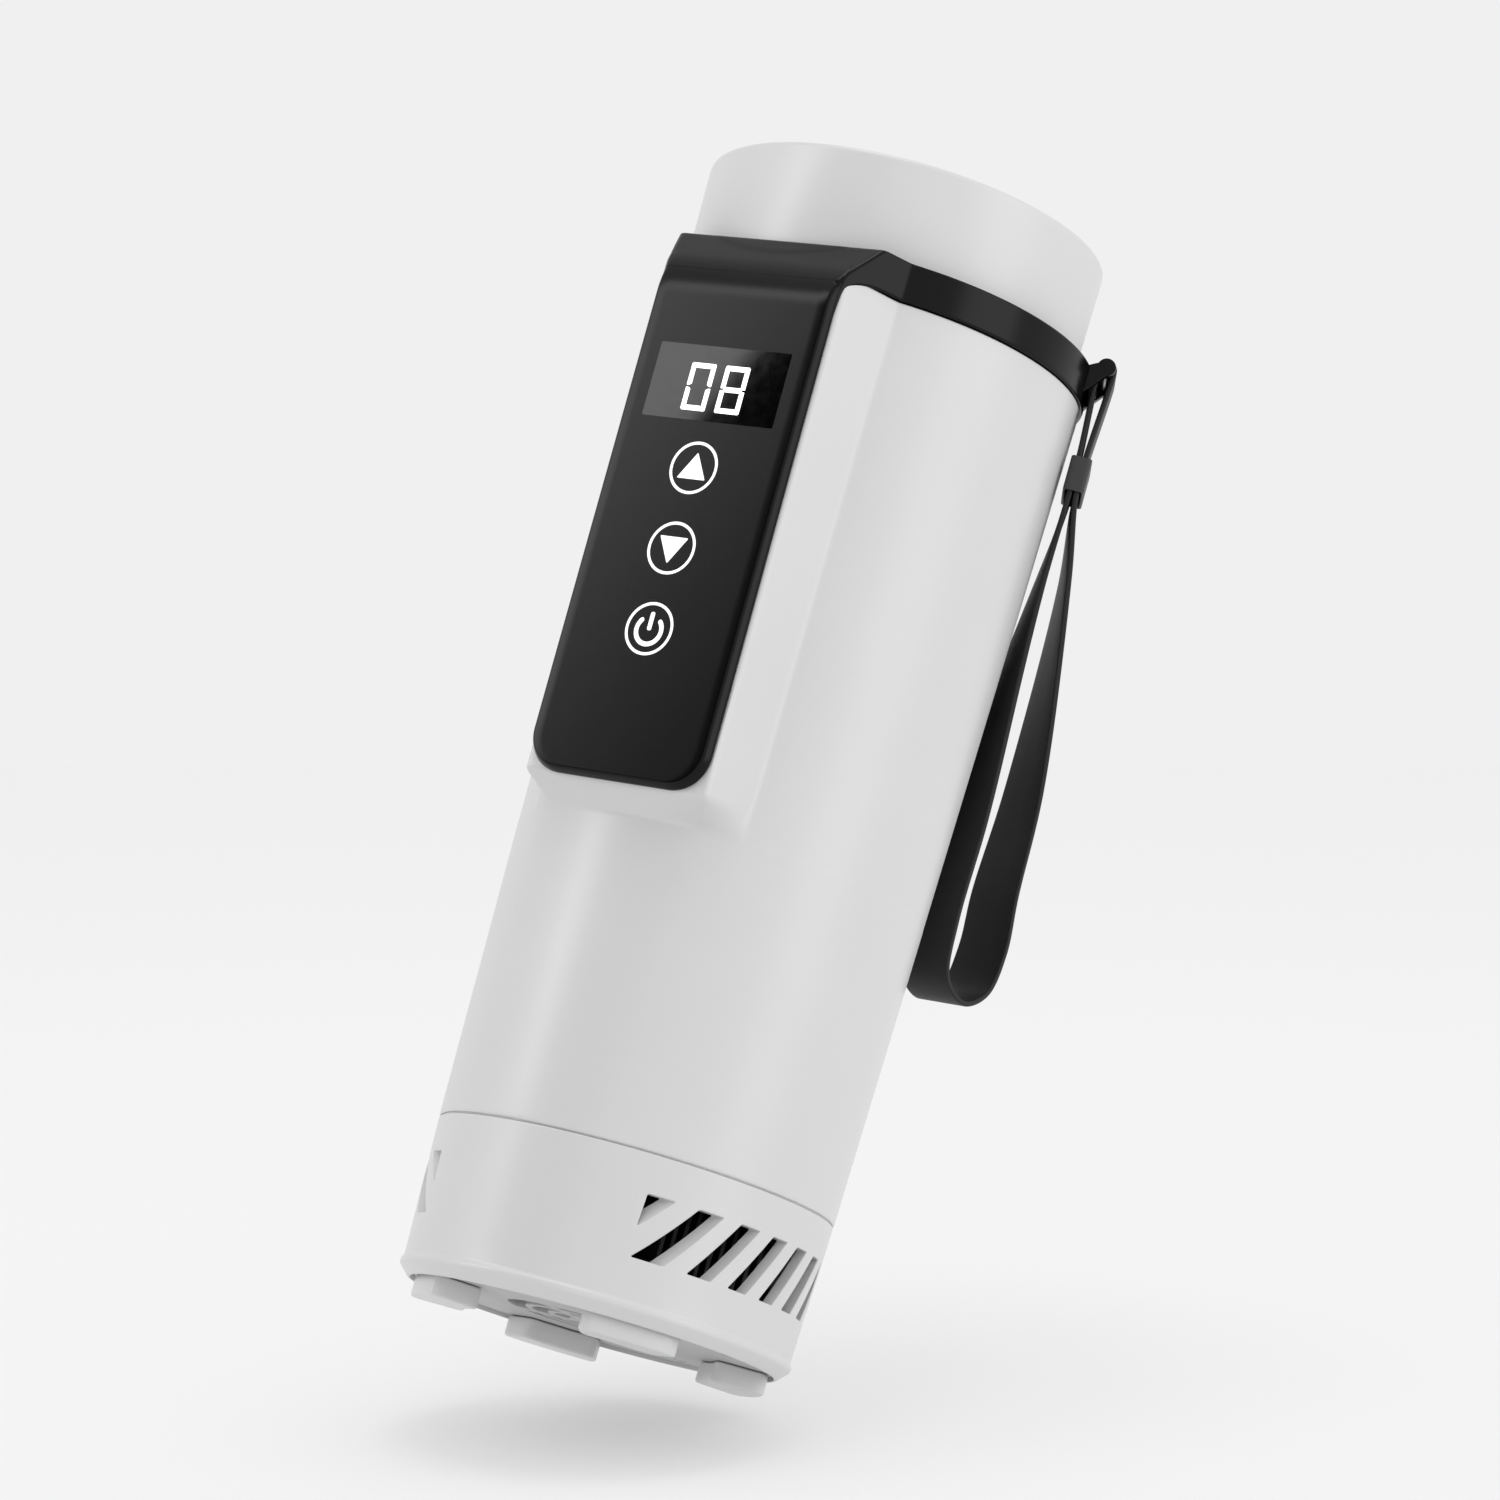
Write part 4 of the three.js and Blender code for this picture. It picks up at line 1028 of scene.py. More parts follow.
    def lug(self) -> Shape:
        """Two ears for the strap's pin: rounded plates set along the rim, run into the band.

        Returns:
            Both ears.
        """
        ears = []
        a = np.linspace(-0.45 * math.pi, 0.9 * math.pi, 15)
        tip = np.column_stack([PIN_REACH + 2 * np.cos(a), PIN_Z + 2 * np.sin(a)])
        root = np.array([(45.3, BAND_TOP - 0.1), (45.3, BAND_Z + 1.6)])
        outline = Loop(np.vstack([tip, root]))
        for low, high in ((self.ear_from, self.ear_to), (-self.ear_to, -self.ear_from)):
            flat = pierced_plate(outline, [], low, high, 0.35)
            ears.append(flat.mapped(lambda p: np.column_stack([p[:, 0], p[:, 2], p[:, 1]])))
        return (ears[0] + ears[1]).turned(LUG_DEG)

    def printed(self, loops: Sequence[tuple[Loop, Loop | None]], low: float, high: float) -> Shape:
        """Thin raised shapes on the panel's face from outlines, each with an optional hole.

        Args:
            loops: Outlines in side and height, each with its hole or None.
            low: How far out of the face the back lies.
            high: How far out of the face the front lies.

        Returns:
            The shapes in one.
        """
        made = []
        for outer, hole in loops:
            plate = pierced_plate(outer, [hole] if hole else [], low, high, 0.0)
            made.append(plate.mapped(lambda p: np.column_stack([
                p[:, 0], -(self.front.face(p[:, 1]) + p[:, 2]), p[:, 1]])))
        return sum(made[1:], made[0])

    def keys(self) -> list[tuple[Loop, Loop | None]]:
        """Outlines of the ringed up, down and power marks.

        Returns:
            Outlines in side and height, each with its hole or None.
        """
        made: list[tuple[Loop, Loop | None]] = []
        for row in range(3):
            centre = (0, self.key_z - row * self.key_pitch)
            outer = ring_loop(self.key_r + self.line / 2, centre, 72)
            made.append((outer, ring_loop(self.key_r - self.line / 2, centre, 72)))
        half, base, tip = 3.4, 2.4, 3.3
        up = self.key_z
        arrow = [(-half, up - base), (half, up - base), (0.15, up + tip)]
        made.append((polygon_loop(arrow, 0.35), None))
        down = self.key_z - self.key_pitch
        arrow = [(-half, down + base), (-0.15, down - tip), (half, down + base)]
        made.append((polygon_loop(arrow, 0.35), None))
        power = self.key_z - 2 * self.key_pitch
        made.append((Loop(box_loop(0.5, 1.95, 0.48, 0.3).points + (0, power + 1.6)), None))
        made.append((Loop(self.power_arc().points + (0, power - 0.3)), None))
        return made

    def power_arc(self) -> Loop:
        """The open ring of the power mark: a bent bar with round ends, open at the top.

        Returns:
            The outline, about its own centre.
        """
        middle, half = 2.95, 0.5
        a = np.radians(np.linspace(-222, 42, 60))
        outer = np.column_stack([(middle + half) * np.cos(a), (middle + half) * np.sin(a)])
        inner = np.column_stack([(middle - half) * np.cos(a), (middle - half) * np.sin(a)])[::-1]
        cap = np.linspace(0, math.pi, 8)[1:-1]
        end, start = a[-1], a[0]
        tip = np.column_stack([
            middle * np.cos(end) + half * np.cos(end + cap), middle * np.sin(end) + half * np.sin(end + cap)])
        tail = np.column_stack([
            middle * np.cos(start) + half * np.cos(start + math.pi + cap),
            middle * np.sin(start) + half * np.sin(start + math.pi + cap)])
        return Loop(np.vstack([outer, tip, inner, tail]))

    def digit(self, left: float, segments: str) -> list[tuple[Loop, Loop | None]]:
        """One seven-segment digit as separate mitred bars.

        Args:
            left: Side of the digit's left edge.
            segments: Letters of the segments that are lit.

        Returns:
            Outlines in side and height, none with a hole.
        """
        w, h, s, cut = self.digit_w, self.digit_h, self.stroke, 0.10
        z0 = self.window_z - h / 2 - 0.9
        mid = h / 2
        above, below = mid + 0.2, mid - 0.2
        neck_up, neck_down = mid + 0.55, mid - 0.55
        left_point, right_point = s * 0.5, w - s * 0.5
        bars = {
            "a": [(cut, h), (s, h - s), (w - s, h - s), (w - cut, h)],
            "d": [(cut, 0), (w - cut, 0), (w - s, s), (s, s)],
            "f": [(0, h - cut), (0, above), (left_point, above), (s, neck_up), (s, h - s - cut)],
            "e": [(0, cut), (s, s + cut), (s, neck_down), (left_point, below), (0, below)],
            "b": [(w, h - cut), (w - s, h - s - cut), (w - s, neck_up), (right_point, above), (w, above)],
            "c": [(w, cut), (w, below), (right_point, below), (w - s, neck_down), (w - s, s + cut)],
            "g": [(s * 0.55, mid), (s, mid - s / 2), (w - s, mid - s / 2), (w - s * 0.55, mid),
                  (w - s, mid + s / 2), (s, mid + s / 2)],
        }
        made = []
        for key in segments:
            corners = np.array(bars[key], float) + (left, z0)
            x, y = corners[:, 0], corners[:, 1]
            if np.sum(x * np.roll(y, -1) - np.roll(x, -1) * y) < 0:
                corners = corners[::-1]
            made.append((polygon_loop([tuple(c) for c in corners], 0.16, 0.5), None))
        return made

    def make(self) -> None:
        """Builds the plate, the band, the lug, the window, the digits and the key marks."""
        build("panel_plate", self.plate(), Look.PANEL, "cooler", ["front_panel"], 50)
        build("rim_band", self.band(), Look.PANEL, "cooler", sharp_deg=50)
        build("strap_lug", self.lug(), Look.PANEL, "cooler", sharp_deg=20)
        pane = Loop(box_loop(self.window_w / 2, self.window_h / 2, 0.4).points + (0, self.window_z))
        window = self.printed([(pane, None)], -0.3, 0.05)
        build("display_pane", window, Look.GLASS, "cooler", ["display_window"])
        zero = self.digit(-self.digit_gap / 2 - self.digit_w, "abcdef")
        eight = self.digit(self.digit_gap / 2, "abcdefg")
        build("lit_digits", self.printed(zero + eight, 0.03, 0.08), Look.DIGITS, "cooler")
        build("key_marks", self.printed(self.keys(), -0.02, 0.045), Look.PRINT, "cooler")


@dataclass
class Lid:
    """White lift-off cap, its plug and its seal."""

    low: float = 226.9
    top: float = 250.2
    r: float = BAND_R - 4
    wall: float = 2.2
    flare: float = 0.5
    plug_r: float = CHAMBER_R - 0.9
    plug_low: float = 214.0
    plug_top: float = 227.9
    groove_low: float = 219.7
    groove_top: float = 223.1
    groove_deep: float = 1.1

    def make(self) -> None:
        """Builds the cap, the plug and the seal as turned profiles."""
        r, wall = self.r, self.wall
        cap = rounded([
            (r, self.low, 0.4), (r + self.flare, self.top, 1.2), (0, self.top, 0), (0, self.top - wall, 0),
            (r + self.flare - 1.4 - wall, self.top - wall, 1.0), (r - wall, self.low, 0.3),
        ])
        build("lid_cap", revolved(cap), Look.CASE, "lid", ["lid_shell"])
        plug, rim, low = self.plug_r, self.plug_top, self.plug_low
        groove, flange = plug - self.groove_deep, r - wall - 0.6
        inner = rounded([
            (0, low, 0), (plug, low, 1.4), (plug, self.groove_low, 0.2), (groove, self.groove_low, 0),
            (groove, self.groove_top, 0), (plug, self.groove_top, 0.2), (plug, rim, 0.4),
            (flange, rim, 0.3), (flange, rim + wall, 0), (plug - wall, rim + wall, 0),
            (plug - wall, low + wall, 0.8), (0, low + wall, 0),
        ])
        build("lid_plug_cover", revolved(inner), Look.INNER, "lid", ["lid_plug"])
        root, waist, lip, foot, head = plug - 0.8, 25.75, 26.05, 220.0, 222.5
        seal = rounded([
            (root, foot, 0), (lip, foot, 0.3), (waist, 220.9, 0.2), (26.2, 221.3, 0.3),
            (waist, 221.9, 0.2), (lip, head, 0.3), (root, head, 0),
        ])
        build("lid_lip_seal", revolved(seal), Look.SILICONE, "lid", ["lid_seal"])


@dataclass
class Chamber:
    """Polished cup that holds the medicine and the collar round its mouth."""

    r: float = CHAMBER_R
    low: float = CUP_Z
    top: float = 223.3
    flange: float = 3.0

    def make(self) -> None:
        """Builds the cup and the collar as turned profiles."""
        outer = self.r + 1.5
        rim, under_rim = outer + self.flange, self.top - 1.5
        cup = rounded([
            (0, self.low, 0), (outer, self.low, 2.0), (outer, under_rim, 0), (rim, under_rim, 0.2),
            (rim, self.top, 0.2), (self.r, self.top, 0.5), (self.r, self.low + 2, 3.0),
            (0, self.low + 2, 0),
        ])
        build("medicine_cup", revolved(cup), Look.CUP, "cooler", ["cold_cup"])
        fit = NECK_R - WALL - GAP
        under = self.top + GAP
        collar = rounded([
            (self.r, under, 0.2), (fit - WALL, under, 0), (fit - WALL, under - 4, 0.3), (fit, under - 4, 0.3),
            (fit, under, 0), (NECK_R, under, 0.2), (NECK_R, under + 3, 0.5), (self.r, under + 3, 1.0),
        ])
        build("mouth_collar", revolved(collar), Look.INNER, "cooler", ["rim_collar"])


@dataclass
class Base:
    """Lower casing with leaning vents, a bevelled lip, the pierced underside and its feet."""

    rim_z: float = 5.7
    lip_z: float = 8.0
    lip_r: float = 41.4
    foot_r: float = 40.9
    foot_z: float = 2.0
    vent_z: float = 18.0
    vent_h: float = 12.8
    vent_w: float = 4.6
    vent_pitch: float = 8.6
    vent_lean: float = 7.4
    vent_half: float = 33.2
    patch_low: float = 15.0
    patch_top: float = 34.0
    patch_side_half: float = 70.0
    patch_rear_half: float = 14.0
    rows: int = 20
    edge: float = 0.28
    seam_edge: float = 0.35
    socket_z: float = 24.6
    plate_r: float = 38.1
    intake: tuple[tuple[float, float], ...] = ((5.0, 8.0), (9.6, 12.8), (14.4, 18.0))
    screw_reach: float = 34.0
    foot_reach: float = 31.7
    foot_half_w: float = 5.7
    foot_half_deg: float = 16.8

    def outer(self, z: np.ndarray) -> np.ndarray:
        """Outer radius between the lip and the seam: a straight cone.

        Args:
            z: Heights.

        Returns:
            The radius at each height.
        """
        top = SEAM_Z - GAP / 2
        start = self.lip_z + 1.4
        return self.foot_r + (SEAM_R - self.foot_r) * (z - start) / (top - start)

    def vent_loops(self) -> list[Loop]:
        """Outlines of the slots of one side: leaning bars clipped to the vented field.

        Returns:
            The outlines, across and up.
        """
        made = []
        count = math.ceil((2 * self.vent_half + self.vent_lean) / self.vent_pitch)
        for index in range(count):
            start = -self.vent_half + 0.4 + (index - 1) * self.vent_pitch
            low, high = self.vent_z, self.vent_z + self.vent_h
            bar = [
                (start, low), (start + self.vent_w, low),
                (start + self.vent_w + self.vent_lean, high), (start + self.vent_lean, high),
            ]
            for limit, sign in ((-self.vent_half, 1), (self.vent_half, -1)):
                bar = clipped(bar, limit, sign)
            if len(bar) > 2:
                made.append(polygon_loop(bar, 0.4))
        return made

    def patch(self, centre_deg: float, half_deg: float, loops: list[Loop], mirror: bool) -> Shape:
        """A stretch of the wall with holes cut straight through it.

        A hole's outline is given across and up; a point of the wall lies at the square root of
        the squared radius less the squared distance across, along the stretch's middle direction.

        Args:
            centre_deg: Angle of the stretch's middle.
            half_deg: Half of the angle that it spans.
            loops: Outlines of the holes, across and up.
            mirror: True if the holes run the other way round.

        Returns:
            The outside, the inside and the holes' walls.
        """
        wall = [self.outer, lambda z: self.outer(z) - WALL]
        columns = np.radians(np.arange(-half_deg, half_deg + 0.1, 2.0))
        rows = np.linspace(self.patch_low, self.patch_top, self.rows)
        flip = -1.0 if mirror else 1.0
        rim = np.vstack([
            np.column_stack([columns * SEAM_R, np.full(len(columns), rows[0])]),
            np.column_stack([np.full(len(rows) - 2, columns[-1] * SEAM_R), rows[1:-1]]),
            np.column_stack([columns[::-1] * SEAM_R, np.full(len(columns), rows[-1])]),
            np.column_stack([np.full(len(rows) - 2, columns[0] * SEAM_R), rows[-2:0:-1]]),
        ])
        made = []
        for radius, grow in zip(wall, (self.edge, 0.0)):
            holes = [Loop(self.unrolled(loop.at(grow), radius)) for loop in loops]
            a, z = np.meshgrid(columns[1:-1] * SEAM_R, rows[1:-1], indexing="ij")
            loose = np.column_stack([a.ravel(), z.ravel()])
            for hole in holes:
                loose = loose[~hole.holds(loose, 0.45)]
            flat, faces = meshed([Loop(rim), *holes], [0.0] * (1 + len(holes)), loose)
            angle, height = flat[:, 0] / SEAM_R, flat[:, 1]
            r = radius(height)
            points = np.column_stack([r * np.cos(angle), flip * r * np.sin(angle), height])
            made.append(Shape(points, [faces]))
        made += [self.hole_wall(loop, flip) for loop in loops]
        return sum(made[1:], made[0]).turned(centre_deg)

    @staticmethod
    def unrolled(spots: np.ndarray, radius: Callable[[np.ndarray], np.ndarray]) -> np.ndarray:
        """Points given across and up, laid along the wall: the arc's length at the seam's radius."""
        share = np.clip(spots[:, 0] / radius(spots[:, 1]), -1, 1)
        return np.column_stack([np.arcsin(share) * SEAM_R, spots[:, 1]])

    def hole_wall(self, loop: Loop, flip: float) -> Shape:
        """The wall of one hole: a quarter-round edge from the outside, then straight in.

        Args:
            loop: The hole's outline, across and up.
            flip: Minus one to run the other way round, else one.

        Returns:
            The wall, open at its inner and outer edge.
        """
        rows = []
        for a in np.linspace(0, math.pi / 2, 4):
            flat = loop.at(self.edge * (1 - math.sin(a)))
            r = self.outer(flat[:, 1])
            ahead = np.sqrt(r * r - flat[:, 0] ** 2)
            share = 1 - self.edge * (1 - math.cos(a)) / r
            rows.append(np.column_stack([ahead * share, flip * flat[:, 0] * share, flat[:, 1]]))
        flat = loop.at(0.0)
        r = self.outer(flat[:, 1]) - WALL
        ahead = np.sqrt(r * r - flat[:, 0] ** 2)
        rows.append(np.column_stack([ahead, flip * flat[:, 0], flat[:, 1]]))
        return surface(np.stack(rows), wrap_columns=True)

    def skirt(self) -> Shape:
        """The whole lower casing: turned rows with three pierced stretches let into them.

        Returns:
            The closed skirt.
        """
        top = SEAM_Z - GAP / 2
        bevel = self.lip_z - self.rim_z
        e = self.seam_edge
        bend = np.linspace(0, math.pi / 2, 4)
        levels = np.linspace(self.patch_low, self.patch_top, self.rows)
        low_out = rounded([
            (self.lip_r - bevel - 0.5, self.rim_z, 0), (self.lip_r - bevel, self.rim_z, 0.3),
            (self.lip_r, self.lip_z, 0.5), (self.lip_r, self.lip_z + 1.0, 0.25),
            (self.foot_r, self.lip_z + 1.5, 0.5), (float(self.outer(13.0)), 13.0, 0),
        ])
        mid_out = np.column_stack([self.outer(levels), levels])
        up_z = np.concatenate([[36.0], top - e * (1 - np.sin(bend))])
        draw_in = np.concatenate([[0], e * (1 - np.cos(bend))])
        up_out = np.column_stack([self.outer(up_z) - draw_in, up_z])
        mid_in = mid_out[::-1] - (WALL, 0)
        low_in = np.array([(self.foot_r - WALL, self.lip_z + 1.5)])
        up_in = np.array([(SEAM_R - WALL, top)])
        profile = np.vstack([low_out, mid_out, up_out, up_in, mid_in, low_in])
        step = 2.0
        angle = np.radians(np.arange(0, 360, step))[None, :]
        r, z = profile[:, :1], profile[:, 1:]
        grid = np.stack([r * np.cos(angle), r * np.sin(angle), z + 0 * angle], -1)
        shape = surface(grid, wrap_rows=True, wrap_columns=True)
        quads = shape.faces[0]
        count = angle.shape[1]
        row, column = quads[:, 0] // count, quads[:, 0] % count
        first = len(low_out)
        second = first + len(mid_out) + len(up_out) + len(up_in)
        span = len(levels) - 1
        in_rows = ((row >= first) & (row < first + span)) | ((row >= second) & (row < second + span))
        vents = self.vent_loops()
        socket = Loop(box_loop(4.9, 1.9, 1.4, 0.5).points + (0, self.socket_z))
        stretches = (
            (0, self.patch_side_half, vents, False), (180, self.patch_side_half, vents, True),
            (90, self.patch_rear_half, [socket], False),
        )
        cut = np.zeros(len(quads), bool)
        for centre, half, _, _ in stretches:
            away = (column * step + step / 2 - centre + 180) % 360 - 180
            cut |= np.abs(away) < half
        shape.faces = [quads[~(in_rows & cut)]]
        return sum((self.patch(*stretch) for stretch in stretches), shape)

    def underside(self) -> Shape:
        """Round plate with a ringed intake and four round screw holes.

        Returns:
            The closed plate.
        """
        outline = ring_loop(self.plate_r, count=160)
        holes = []
        for inner, outer in self.intake:
            middle = (inner + outer) / 2
            gap_deg = math.degrees(1.3 / middle)
            half = (outer - inner) / 2
            holes += [arc_loop(middle, half, 45 - gap_deg, at, 0.7) for at in (45, 135, 225, 315)]
        for a in np.radians([0, 90, 180, 270]):
            centre = (self.screw_reach * math.cos(a), self.screw_reach * math.sin(a))
            holes.append(ring_loop(2.6, centre, 28))
        return pierced_plate(outline, holes, 6.5, 8.8, 0.3)

    def make(self) -> None:
        """Builds the skirt, the underside and the feet."""
        build("base_casing", self.skirt(), Look.CASE, "cooler", ["base_skirt"], 14)
        plate = self.underside()
        # The underside plate's darker grey is painted shade, not a different plastic.
        build("underside_plate", plate, Look.UNDERSIDE_PAINTED_SHADE, "cooler", ["base_plate"], 20)
        corners = (("front_right", -45), ("rear_right", 45), ("rear_left", 135), ("front_left", 225))
        for where, at in corners:
            loop = arc_loop(self.foot_reach, self.foot_half_w, self.foot_half_deg, at, 2.6)
            foot = soft_slab(loop, self.foot_z, 6.35, 0.6)
            build(f"rest_foot_{where}", foot, Look.CASE, "cooler", [f"foot_{where}"], 20)


def clipped(corners: list[tuple[float, float]], limit: float, sign: int) -> list[tuple[float, float]]:
    """A convex outline cut off at an upright line, keeping the side that sign points to.

    Args:
        corners: The outline's corners, in order.
        limit: Side of the upright line.
        sign: One to keep what is right of the line, minus one for left.

    Returns:
        The corners that are left.
    """
    made: list[tuple[float, float]] = []
    for here, ahead in zip(corners, corners[1:] + corners[:1]):
        inside, following = sign * (here[0] - limit) >= 0, sign * (ahead[0] - limit) >= 0
        if inside:
            made.append(here)
        if inside != following:
            t = (limit - here[0]) / (ahead[0] - here[0])
            made.append((limit, here[1] + t * (ahead[1] - here[1])))
    return made


@dataclass
class Strap:
    """Flat rubber wrist strap, hung from the lug's pin, and the sleeve that clamps it."""

    width: float = 12.0
    thick: float = 1.2
    pin_r: float = 0.8
    drop: float = 27.4
    sleeve_h: float = 7.6
    sleeve_wall: float = 0.6
    hang_drop: float = 2.8

    @property
    def sleeve_z(self) -> float:
        """Lower edge of the sleeve."""
        return PIN_Z - self.drop

    def knots(self) -> np.ndarray:
        """Points of the strap's course, from its joint in the sleeve over the pin and back.

        Returns:
            The points, in order.
        """
        layer = (self.thick + GAP) / 2
        over = self.pin_r + GAP + self.thick / 2
        joint, top = self.sleeve_z + self.sleeve_h / 2, self.sleeve_z + self.sleeve_h + 1
        a = np.linspace(0, math.pi, 9)
        rows = [[layer, 0, joint + GAP], [layer, 0, top]]
        rows += np.column_stack([over * np.cos(a), 0 * a, PIN_Z + over * np.sin(a)]).tolist()
        rows += [[-layer, 0, top], [-layer, 0, self.sleeve_z - 1]]
        hang = [
            (-1.9, 5, 18), (-2.2, 12, 40), (-1.5, 19, 66), (-1.1, 23.5, 88), (1.3, 26.5, 99.5),
            (8, 30, 103), (15.1, 33, 98.5), (17.1, 33.5, 89), (15.3, 31.9, 77), (9.8, 20.8, 56),
            (3.2, 4.2, 14),
        ]
        rows += [[out, deg, self.sleeve_z - self.hang_drop - down] for out, deg, down in hang]
        rows += [[layer, 0, self.sleeve_z - 1], [layer, 0, joint - GAP]]
        out, deg, z = np.array(rows, float).T
        a = np.radians(LUG_DEG + deg)
        r = PIN_REACH + out
        return np.column_stack([r * np.cos(a), r * np.sin(a), z])

    def course(self, count: int) -> np.ndarray:
        """Centripetal Catmull-Rom curve through the knots, at even steps of the knot number.

        Between two knots the point is the cubic Hermite curve whose end slopes weigh each
        neighbouring chord by the square root of its length.

        Args:
            count: Number of points.

        Returns:
            The points of the curve.
        """
        p = self.knots()
        p = np.vstack([2 * p[0] - p[1], p, 2 * p[-1] - p[-2]])
        t = np.linspace(0, len(p) - 3, count)
        k = np.minimum(t.astype(int), len(p) - 4)
        w = (t - k)[:, None]
        p0, p1, p2, p3 = p[k], p[k + 1], p[k + 2], p[k + 3]
        chords = (p1 - p0, p2 - p1, p3 - p2)
        d0, d1, d2 = (np.linalg.norm(chord, axis=1, keepdims=True) ** 0.5 for chord in chords)
        m1 = ((p1 - p0) / d0 - (p2 - p0) / (d0 + d1) + (p2 - p1) / d1) * d1
        m2 = ((p2 - p1) / d1 - (p3 - p1) / (d1 + d2) + (p3 - p2) / d2) * d1
        square = -3 * p1 + 3 * p2 - 2 * m1 - m2
        cube = 2 * p1 - 2 * p2 + m1 + m2
        return p1 + m1 * w + square * w**2 + cube * w**3

    def ribbon(self) -> Shape:
        """The strap: a rounded rectangle carried along its course, its width turning as it drops.

        Returns:
            The closed strap.
        """
        middle = self.course(620)
        heading = np.gradient(middle, axis=0)
        heading /= np.linalg.norm(heading, axis=1, keepdims=True)
        share = np.clip((self.sleeve_z + 7 - middle[:, 2]) / 105, 0, 1)
        turn = share * share * (3 - 2 * share)
        angle = np.radians(LUG_DEG + 90 + 60 * turn)
        across = np.column_stack([np.cos(angle), np.sin(angle), 0 * angle])
        face = np.cross(heading, across)
        face /= np.linalg.norm(face, axis=1, keepdims=True)
        ring = box_loop(self.width / 2, self.thick / 2, 0.45, 3.0).points
        wide, thick = ring[None, :, :1], ring[None, :, 1:]
        grid = middle[:, None] + wide * across[:, None] + thick * face[:, None]
        return surface(grid, wrap_columns=True) + fan(grid[0]) + fan(grid[-1])

    def sleeve(self) -> Shape:
        """The sleeve: a rounded tube of rectangular section, stood at the lug's angle.

        Returns:
            The closed tube.
        """
        slot_x, slot_y = self.thick + GAP / 2 + GAP, self.width / 2 + GAP
        outer = box_loop(slot_x + self.sleeve_wall, slot_y + self.sleeve_wall, 1.0)
        inner = box_loop(slot_x, slot_y, 0.5)
        tube = pierced_plate(outer, [inner], self.sleeve_z, self.sleeve_z + self.sleeve_h, 0.25)
        return Shape(tube.points + (PIN_REACH, 0, 0), tube.faces).turned(LUG_DEG)

    def make(self) -> None:
        """Builds the strap and its sleeve."""
        build("wrist_strap", self.ribbon(), Look.RUBBER, "strap", ["strap"])
        build("strap_sleeve", self.sleeve(), Look.SLEEVE, "strap", ["strap_keeper"], 20)


# ---------------------------------------------------------------- studio


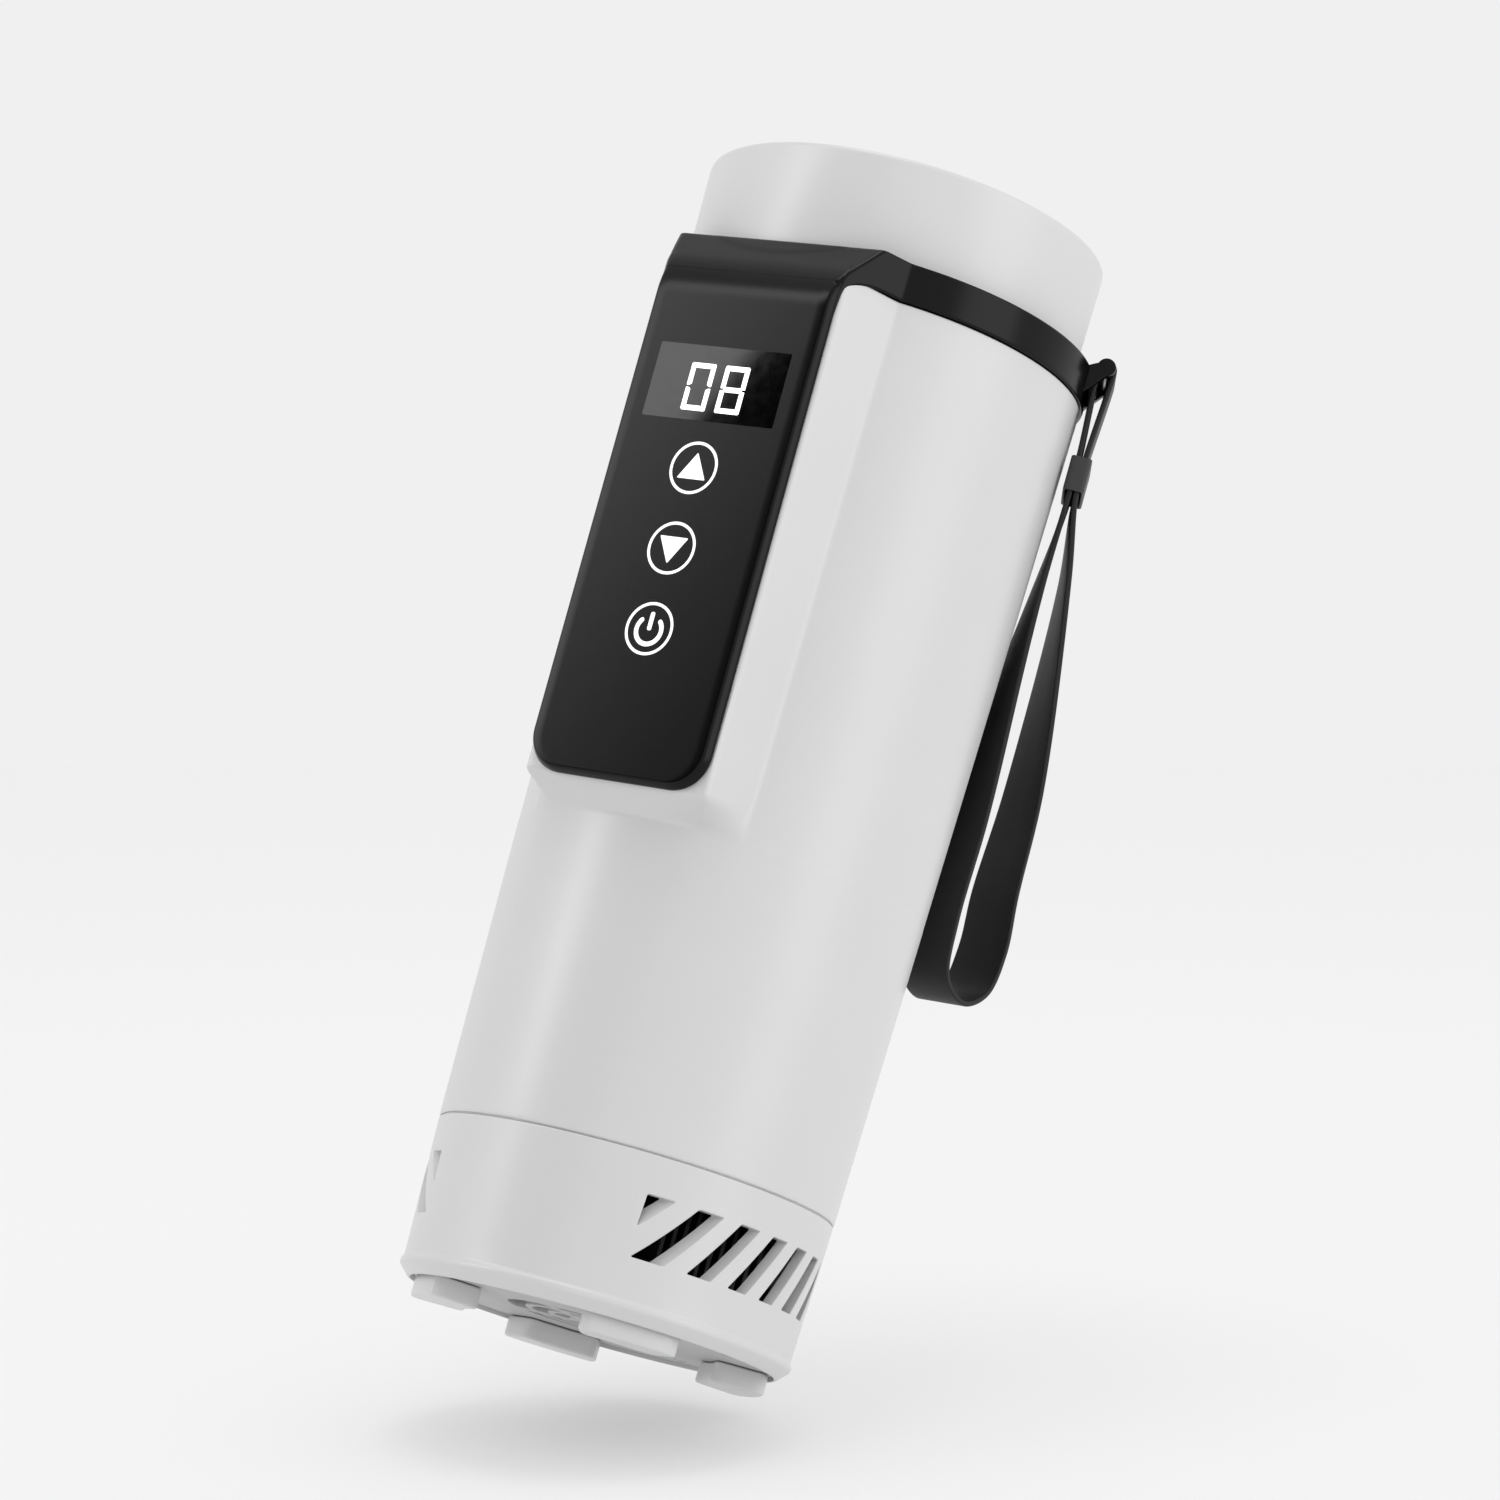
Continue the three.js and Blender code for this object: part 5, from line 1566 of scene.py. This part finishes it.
@dataclass
class Studio:
    """Camera, pale floor and soft lights."""

    lens_mm: float = 120.0
    sensor_mm: float = 36.0
    distance: float = 1045.0
    elevation: float = -11.51
    roll: float = 15.95
    azimuth: float = 32.7
    aim_side: float = -1.37
    aim_z: float = 130.6
    floor_tip: float = 5.0
    floor_drop: float = 138.0
    floor_half: float = 1500.0
    light_far: float = 900.0
    card_far: float = 900.0
    card_edge_high: tuple[float, float] = (6.5, 200.2)
    card_edge_low: tuple[float, float] = (-3.0, 184.1)
    unlit: bpy.types.Collection | None = None
    pale: str = "#F0F0F0"

    def axes(self) -> tuple[np.ndarray, np.ndarray, np.ndarray, np.ndarray]:
        """Camera place and its right, up and backward directions, in millimetres about the axis.

        Returns:
            The place, right, up and backward.
        """
        e, roll, az = (math.radians(v) for v in (self.elevation, self.roll, self.azimuth))
        c, s = math.cos(az), math.sin(az)
        turn = np.array([[c, -s, 0], [s, c, 0], [0, 0, 1.0]])
        back = np.array([0, -math.cos(e), math.sin(e)])
        level = np.array([1.0, 0, 0])
        above = np.cross(level, -back)
        right = math.cos(roll) * level + math.sin(roll) * above
        up = -math.sin(roll) * level + math.cos(roll) * above
        place = np.array([0, 0, self.aim_z]) + level * self.aim_side + back * self.distance
        return turn @ place, turn @ right, turn @ up, turn @ back

    def camera(self) -> None:
        """Adds the camera and makes it the scene's."""
        place, right, up, back = self.axes()
        data = bpy.data.cameras.new("studio_camera")
        data.lens, data.sensor_width = self.lens_mm, self.sensor_mm
        data.clip_start, data.clip_end = 0.05, 50
        made = bpy.data.objects.new("studio_camera", data)
        bpy.context.scene.collection.objects.link(made)
        matrix = np.eye(4)
        matrix[:3, 0], matrix[:3, 1], matrix[:3, 2] = right, up, back
        matrix[:3, 3] = (place + AXIS) * MM
        made.matrix_world = Matrix(matrix.tolist())
        bpy.context.scene.camera = made

    def light(self, name: str, toward: np.ndarray, size: tuple[float, float], power: float,
              aim: np.ndarray, on_floor: bool = False) -> None:
        """Adds one soft rectangular light.

        Args:
            name: Its name.
            toward: Direction from the aim to the light.
            size: Width and height, in metres.
            power: Strength, in watts.
            aim: Point that it faces, in millimetres about the axis.
            on_floor: True if it lights the floor too.
        """
        data = bpy.data.lights.new(name, "AREA")
        data.shape, data.size, data.size_y, data.energy = "RECTANGLE", size[0], size[1], power
        made = bpy.data.objects.new(name, data)
        bpy.context.scene.collection.objects.link(made)
        toward = toward / np.linalg.norm(toward)
        made.location = (aim + toward * self.light_far + AXIS) * MM
        made.rotation_mode = "QUATERNION"
        made.rotation_quaternion = Vector(toward).to_track_quat("Z", "Y")
        if not on_floor:
            made.light_linking.receiver_collection = self.unlit

    def floor(self) -> None:
        """Adds the pale floor, tipped as the object leans, with a glow that meets the surround's tone."""
        place, right, up, back = self.axes()
        tip = math.radians(self.floor_tip)
        normal = math.cos(tip) * up + math.sin(tip) * back
        ahead = np.cross(normal, right)
        middle = place - back * self.distance - up * self.floor_drop
        u = np.linspace(-self.floor_half, self.floor_half, 5)
        a, b = np.meshgrid(u, u, indexing="ij")
        grid = middle + a[..., None] * right + b[..., None] * ahead
        mesh = bpy.data.meshes.new("studio_floor")
        mesh.from_pydata(((grid.reshape(-1, 3) + AXIS) * MM).tolist(), [], lattice(5, 5).tolist())
        made = bpy.data.objects.new("studio_floor", mesh)
        bpy.context.scene.collection.objects.link(made)
        paper = Finish("floor_paper", "#CACACA", 1.0, specular=0.0, grain_mm=1.0, grain_deep_mm=0.0,
                       drift=0.0, glow=0.585)
        mesh.materials.append(paper.material())
        self.unlit = bpy.data.collections.new("side_lights_skip")
        self.unlit.objects.link(made)
        self.unlit.collection_objects[0].light_linking.link_state = "EXCLUDE"

    def mirrored(self, front: Front, side: float, z: float, far: float) -> np.ndarray:
        """Where the camera's ray ends after it is reflected by the panel's face.

        Args:
            front: Planes of the touch panel.
            side: Place across the panel, in millimetres.
            z: Height on the panel.
            far: Length of the reflected ray.

        Returns:
            The point, in millimetres about the axis.
        """
        spot = np.array([side, -front.face(z), z])
        normal = np.array([0, -1.0, -TAPER]) / math.hypot(1, TAPER)
        ray = spot - self.axes()[0]
        ray /= np.linalg.norm(ray)
        return spot + (ray - 2 * (ray @ normal) * normal) * far

    def cards(self, front: Front) -> None:
        """Adds the two things that the window mirrors: a lit strip and a dark card, edge to edge.

        Args:
            front: Planes of the touch panel.
        """
        far = self.card_far
        high = self.mirrored(front, *self.card_edge_high, far)
        low = self.mirrored(front, *self.card_edge_low, far)
        along = (high - low) / np.linalg.norm(high - low)
        middle = (high + low) / 2
        toward = middle - np.array([0, -front.face(190), 190])
        toward /= np.linalg.norm(toward)
        across = np.cross(along, toward)
        across *= np.sign((self.mirrored(front, 12, 192, far) - middle) @ across)
        up = np.cross(toward, across)
        lit = Finish("lit_card", "#E0E0E0", 1.0, specular=0.0, grain_mm=1.0, glow=5.5)
        felt = Finish("card_felt", "#161616", 1.0, specular=0.0, grain_mm=1.0)
        cards = (("strip_light", -1, 200.0, 800.0, lit), ("dark_card", 1, 900.0, 1500.0, felt))
        for name, side, width, tall, finish in cards:
            centre = middle + side * across * width / 2
            wide, high_up = across * width / 2, up * tall / 2
            corners = [centre + a * wide + b * high_up for a, b in ((-1, -1), (1, -1), (1, 1), (-1, 1))]
            mesh = bpy.data.meshes.new(name)
            mesh.from_pydata(((np.array(corners) + AXIS) * MM).tolist(), [], [(0, 1, 2, 3)])
            mesh.materials.append(finish.material())
            made = bpy.data.objects.new(name, mesh)
            bpy.context.scene.collection.objects.link(made)
            made.visible_camera = made.visible_shadow = made.visible_diffuse = False

    def make(self) -> None:
        """Sets the camera, the floor, the surround and the lights."""
        self.camera()
        self.floor()
        scene = bpy.context.scene
        scene.view_settings.view_transform = "Standard"
        world = bpy.data.worlds.new("surround")
        world.use_nodes = True
        world.node_tree.nodes["Background"].inputs["Color"].default_value = linear(self.pale)
        scene.world = world
        self.cards(Front())
        _, right, up, back = self.axes()
        aim = np.array([0, 0, 130.0])
        self.light("left_softbox", -right + back * 0.1 + up * 0.35, (0.5, 1.1), 0.9, aim)
        self.light("right_softbox", right + back * 0.6 + up * 0.15, (0.5, 1.1), 2.6, aim)
        self.light("top_softbox", up + back * 0.1, (0.4, 0.4), 1.2, aim, on_floor=True)


def dress_frame() -> None:
    """Gives each carried-over node of the frame its finish; screws, pins and springs are steel."""
    for name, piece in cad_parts.items():
        look = FRAME_LOOKS.get(name, Look.STEEL)
        piece.data.materials.clear()
        piece.data.materials.append(look.value.material())


def main() -> None:
    """Builds every piece in order."""
    logging.basicConfig(level=logging.INFO, format="%(name)s %(message)s")
    dress_frame()
    front = Front()
    for part in (Studio(), Casing(front), TouchPanel(front), Lid(), Chamber(), Base(), Strap()):
        LOG.info("building %s", type(part).__name__)
        part.make()


if __name__ == "__main__":
    main()
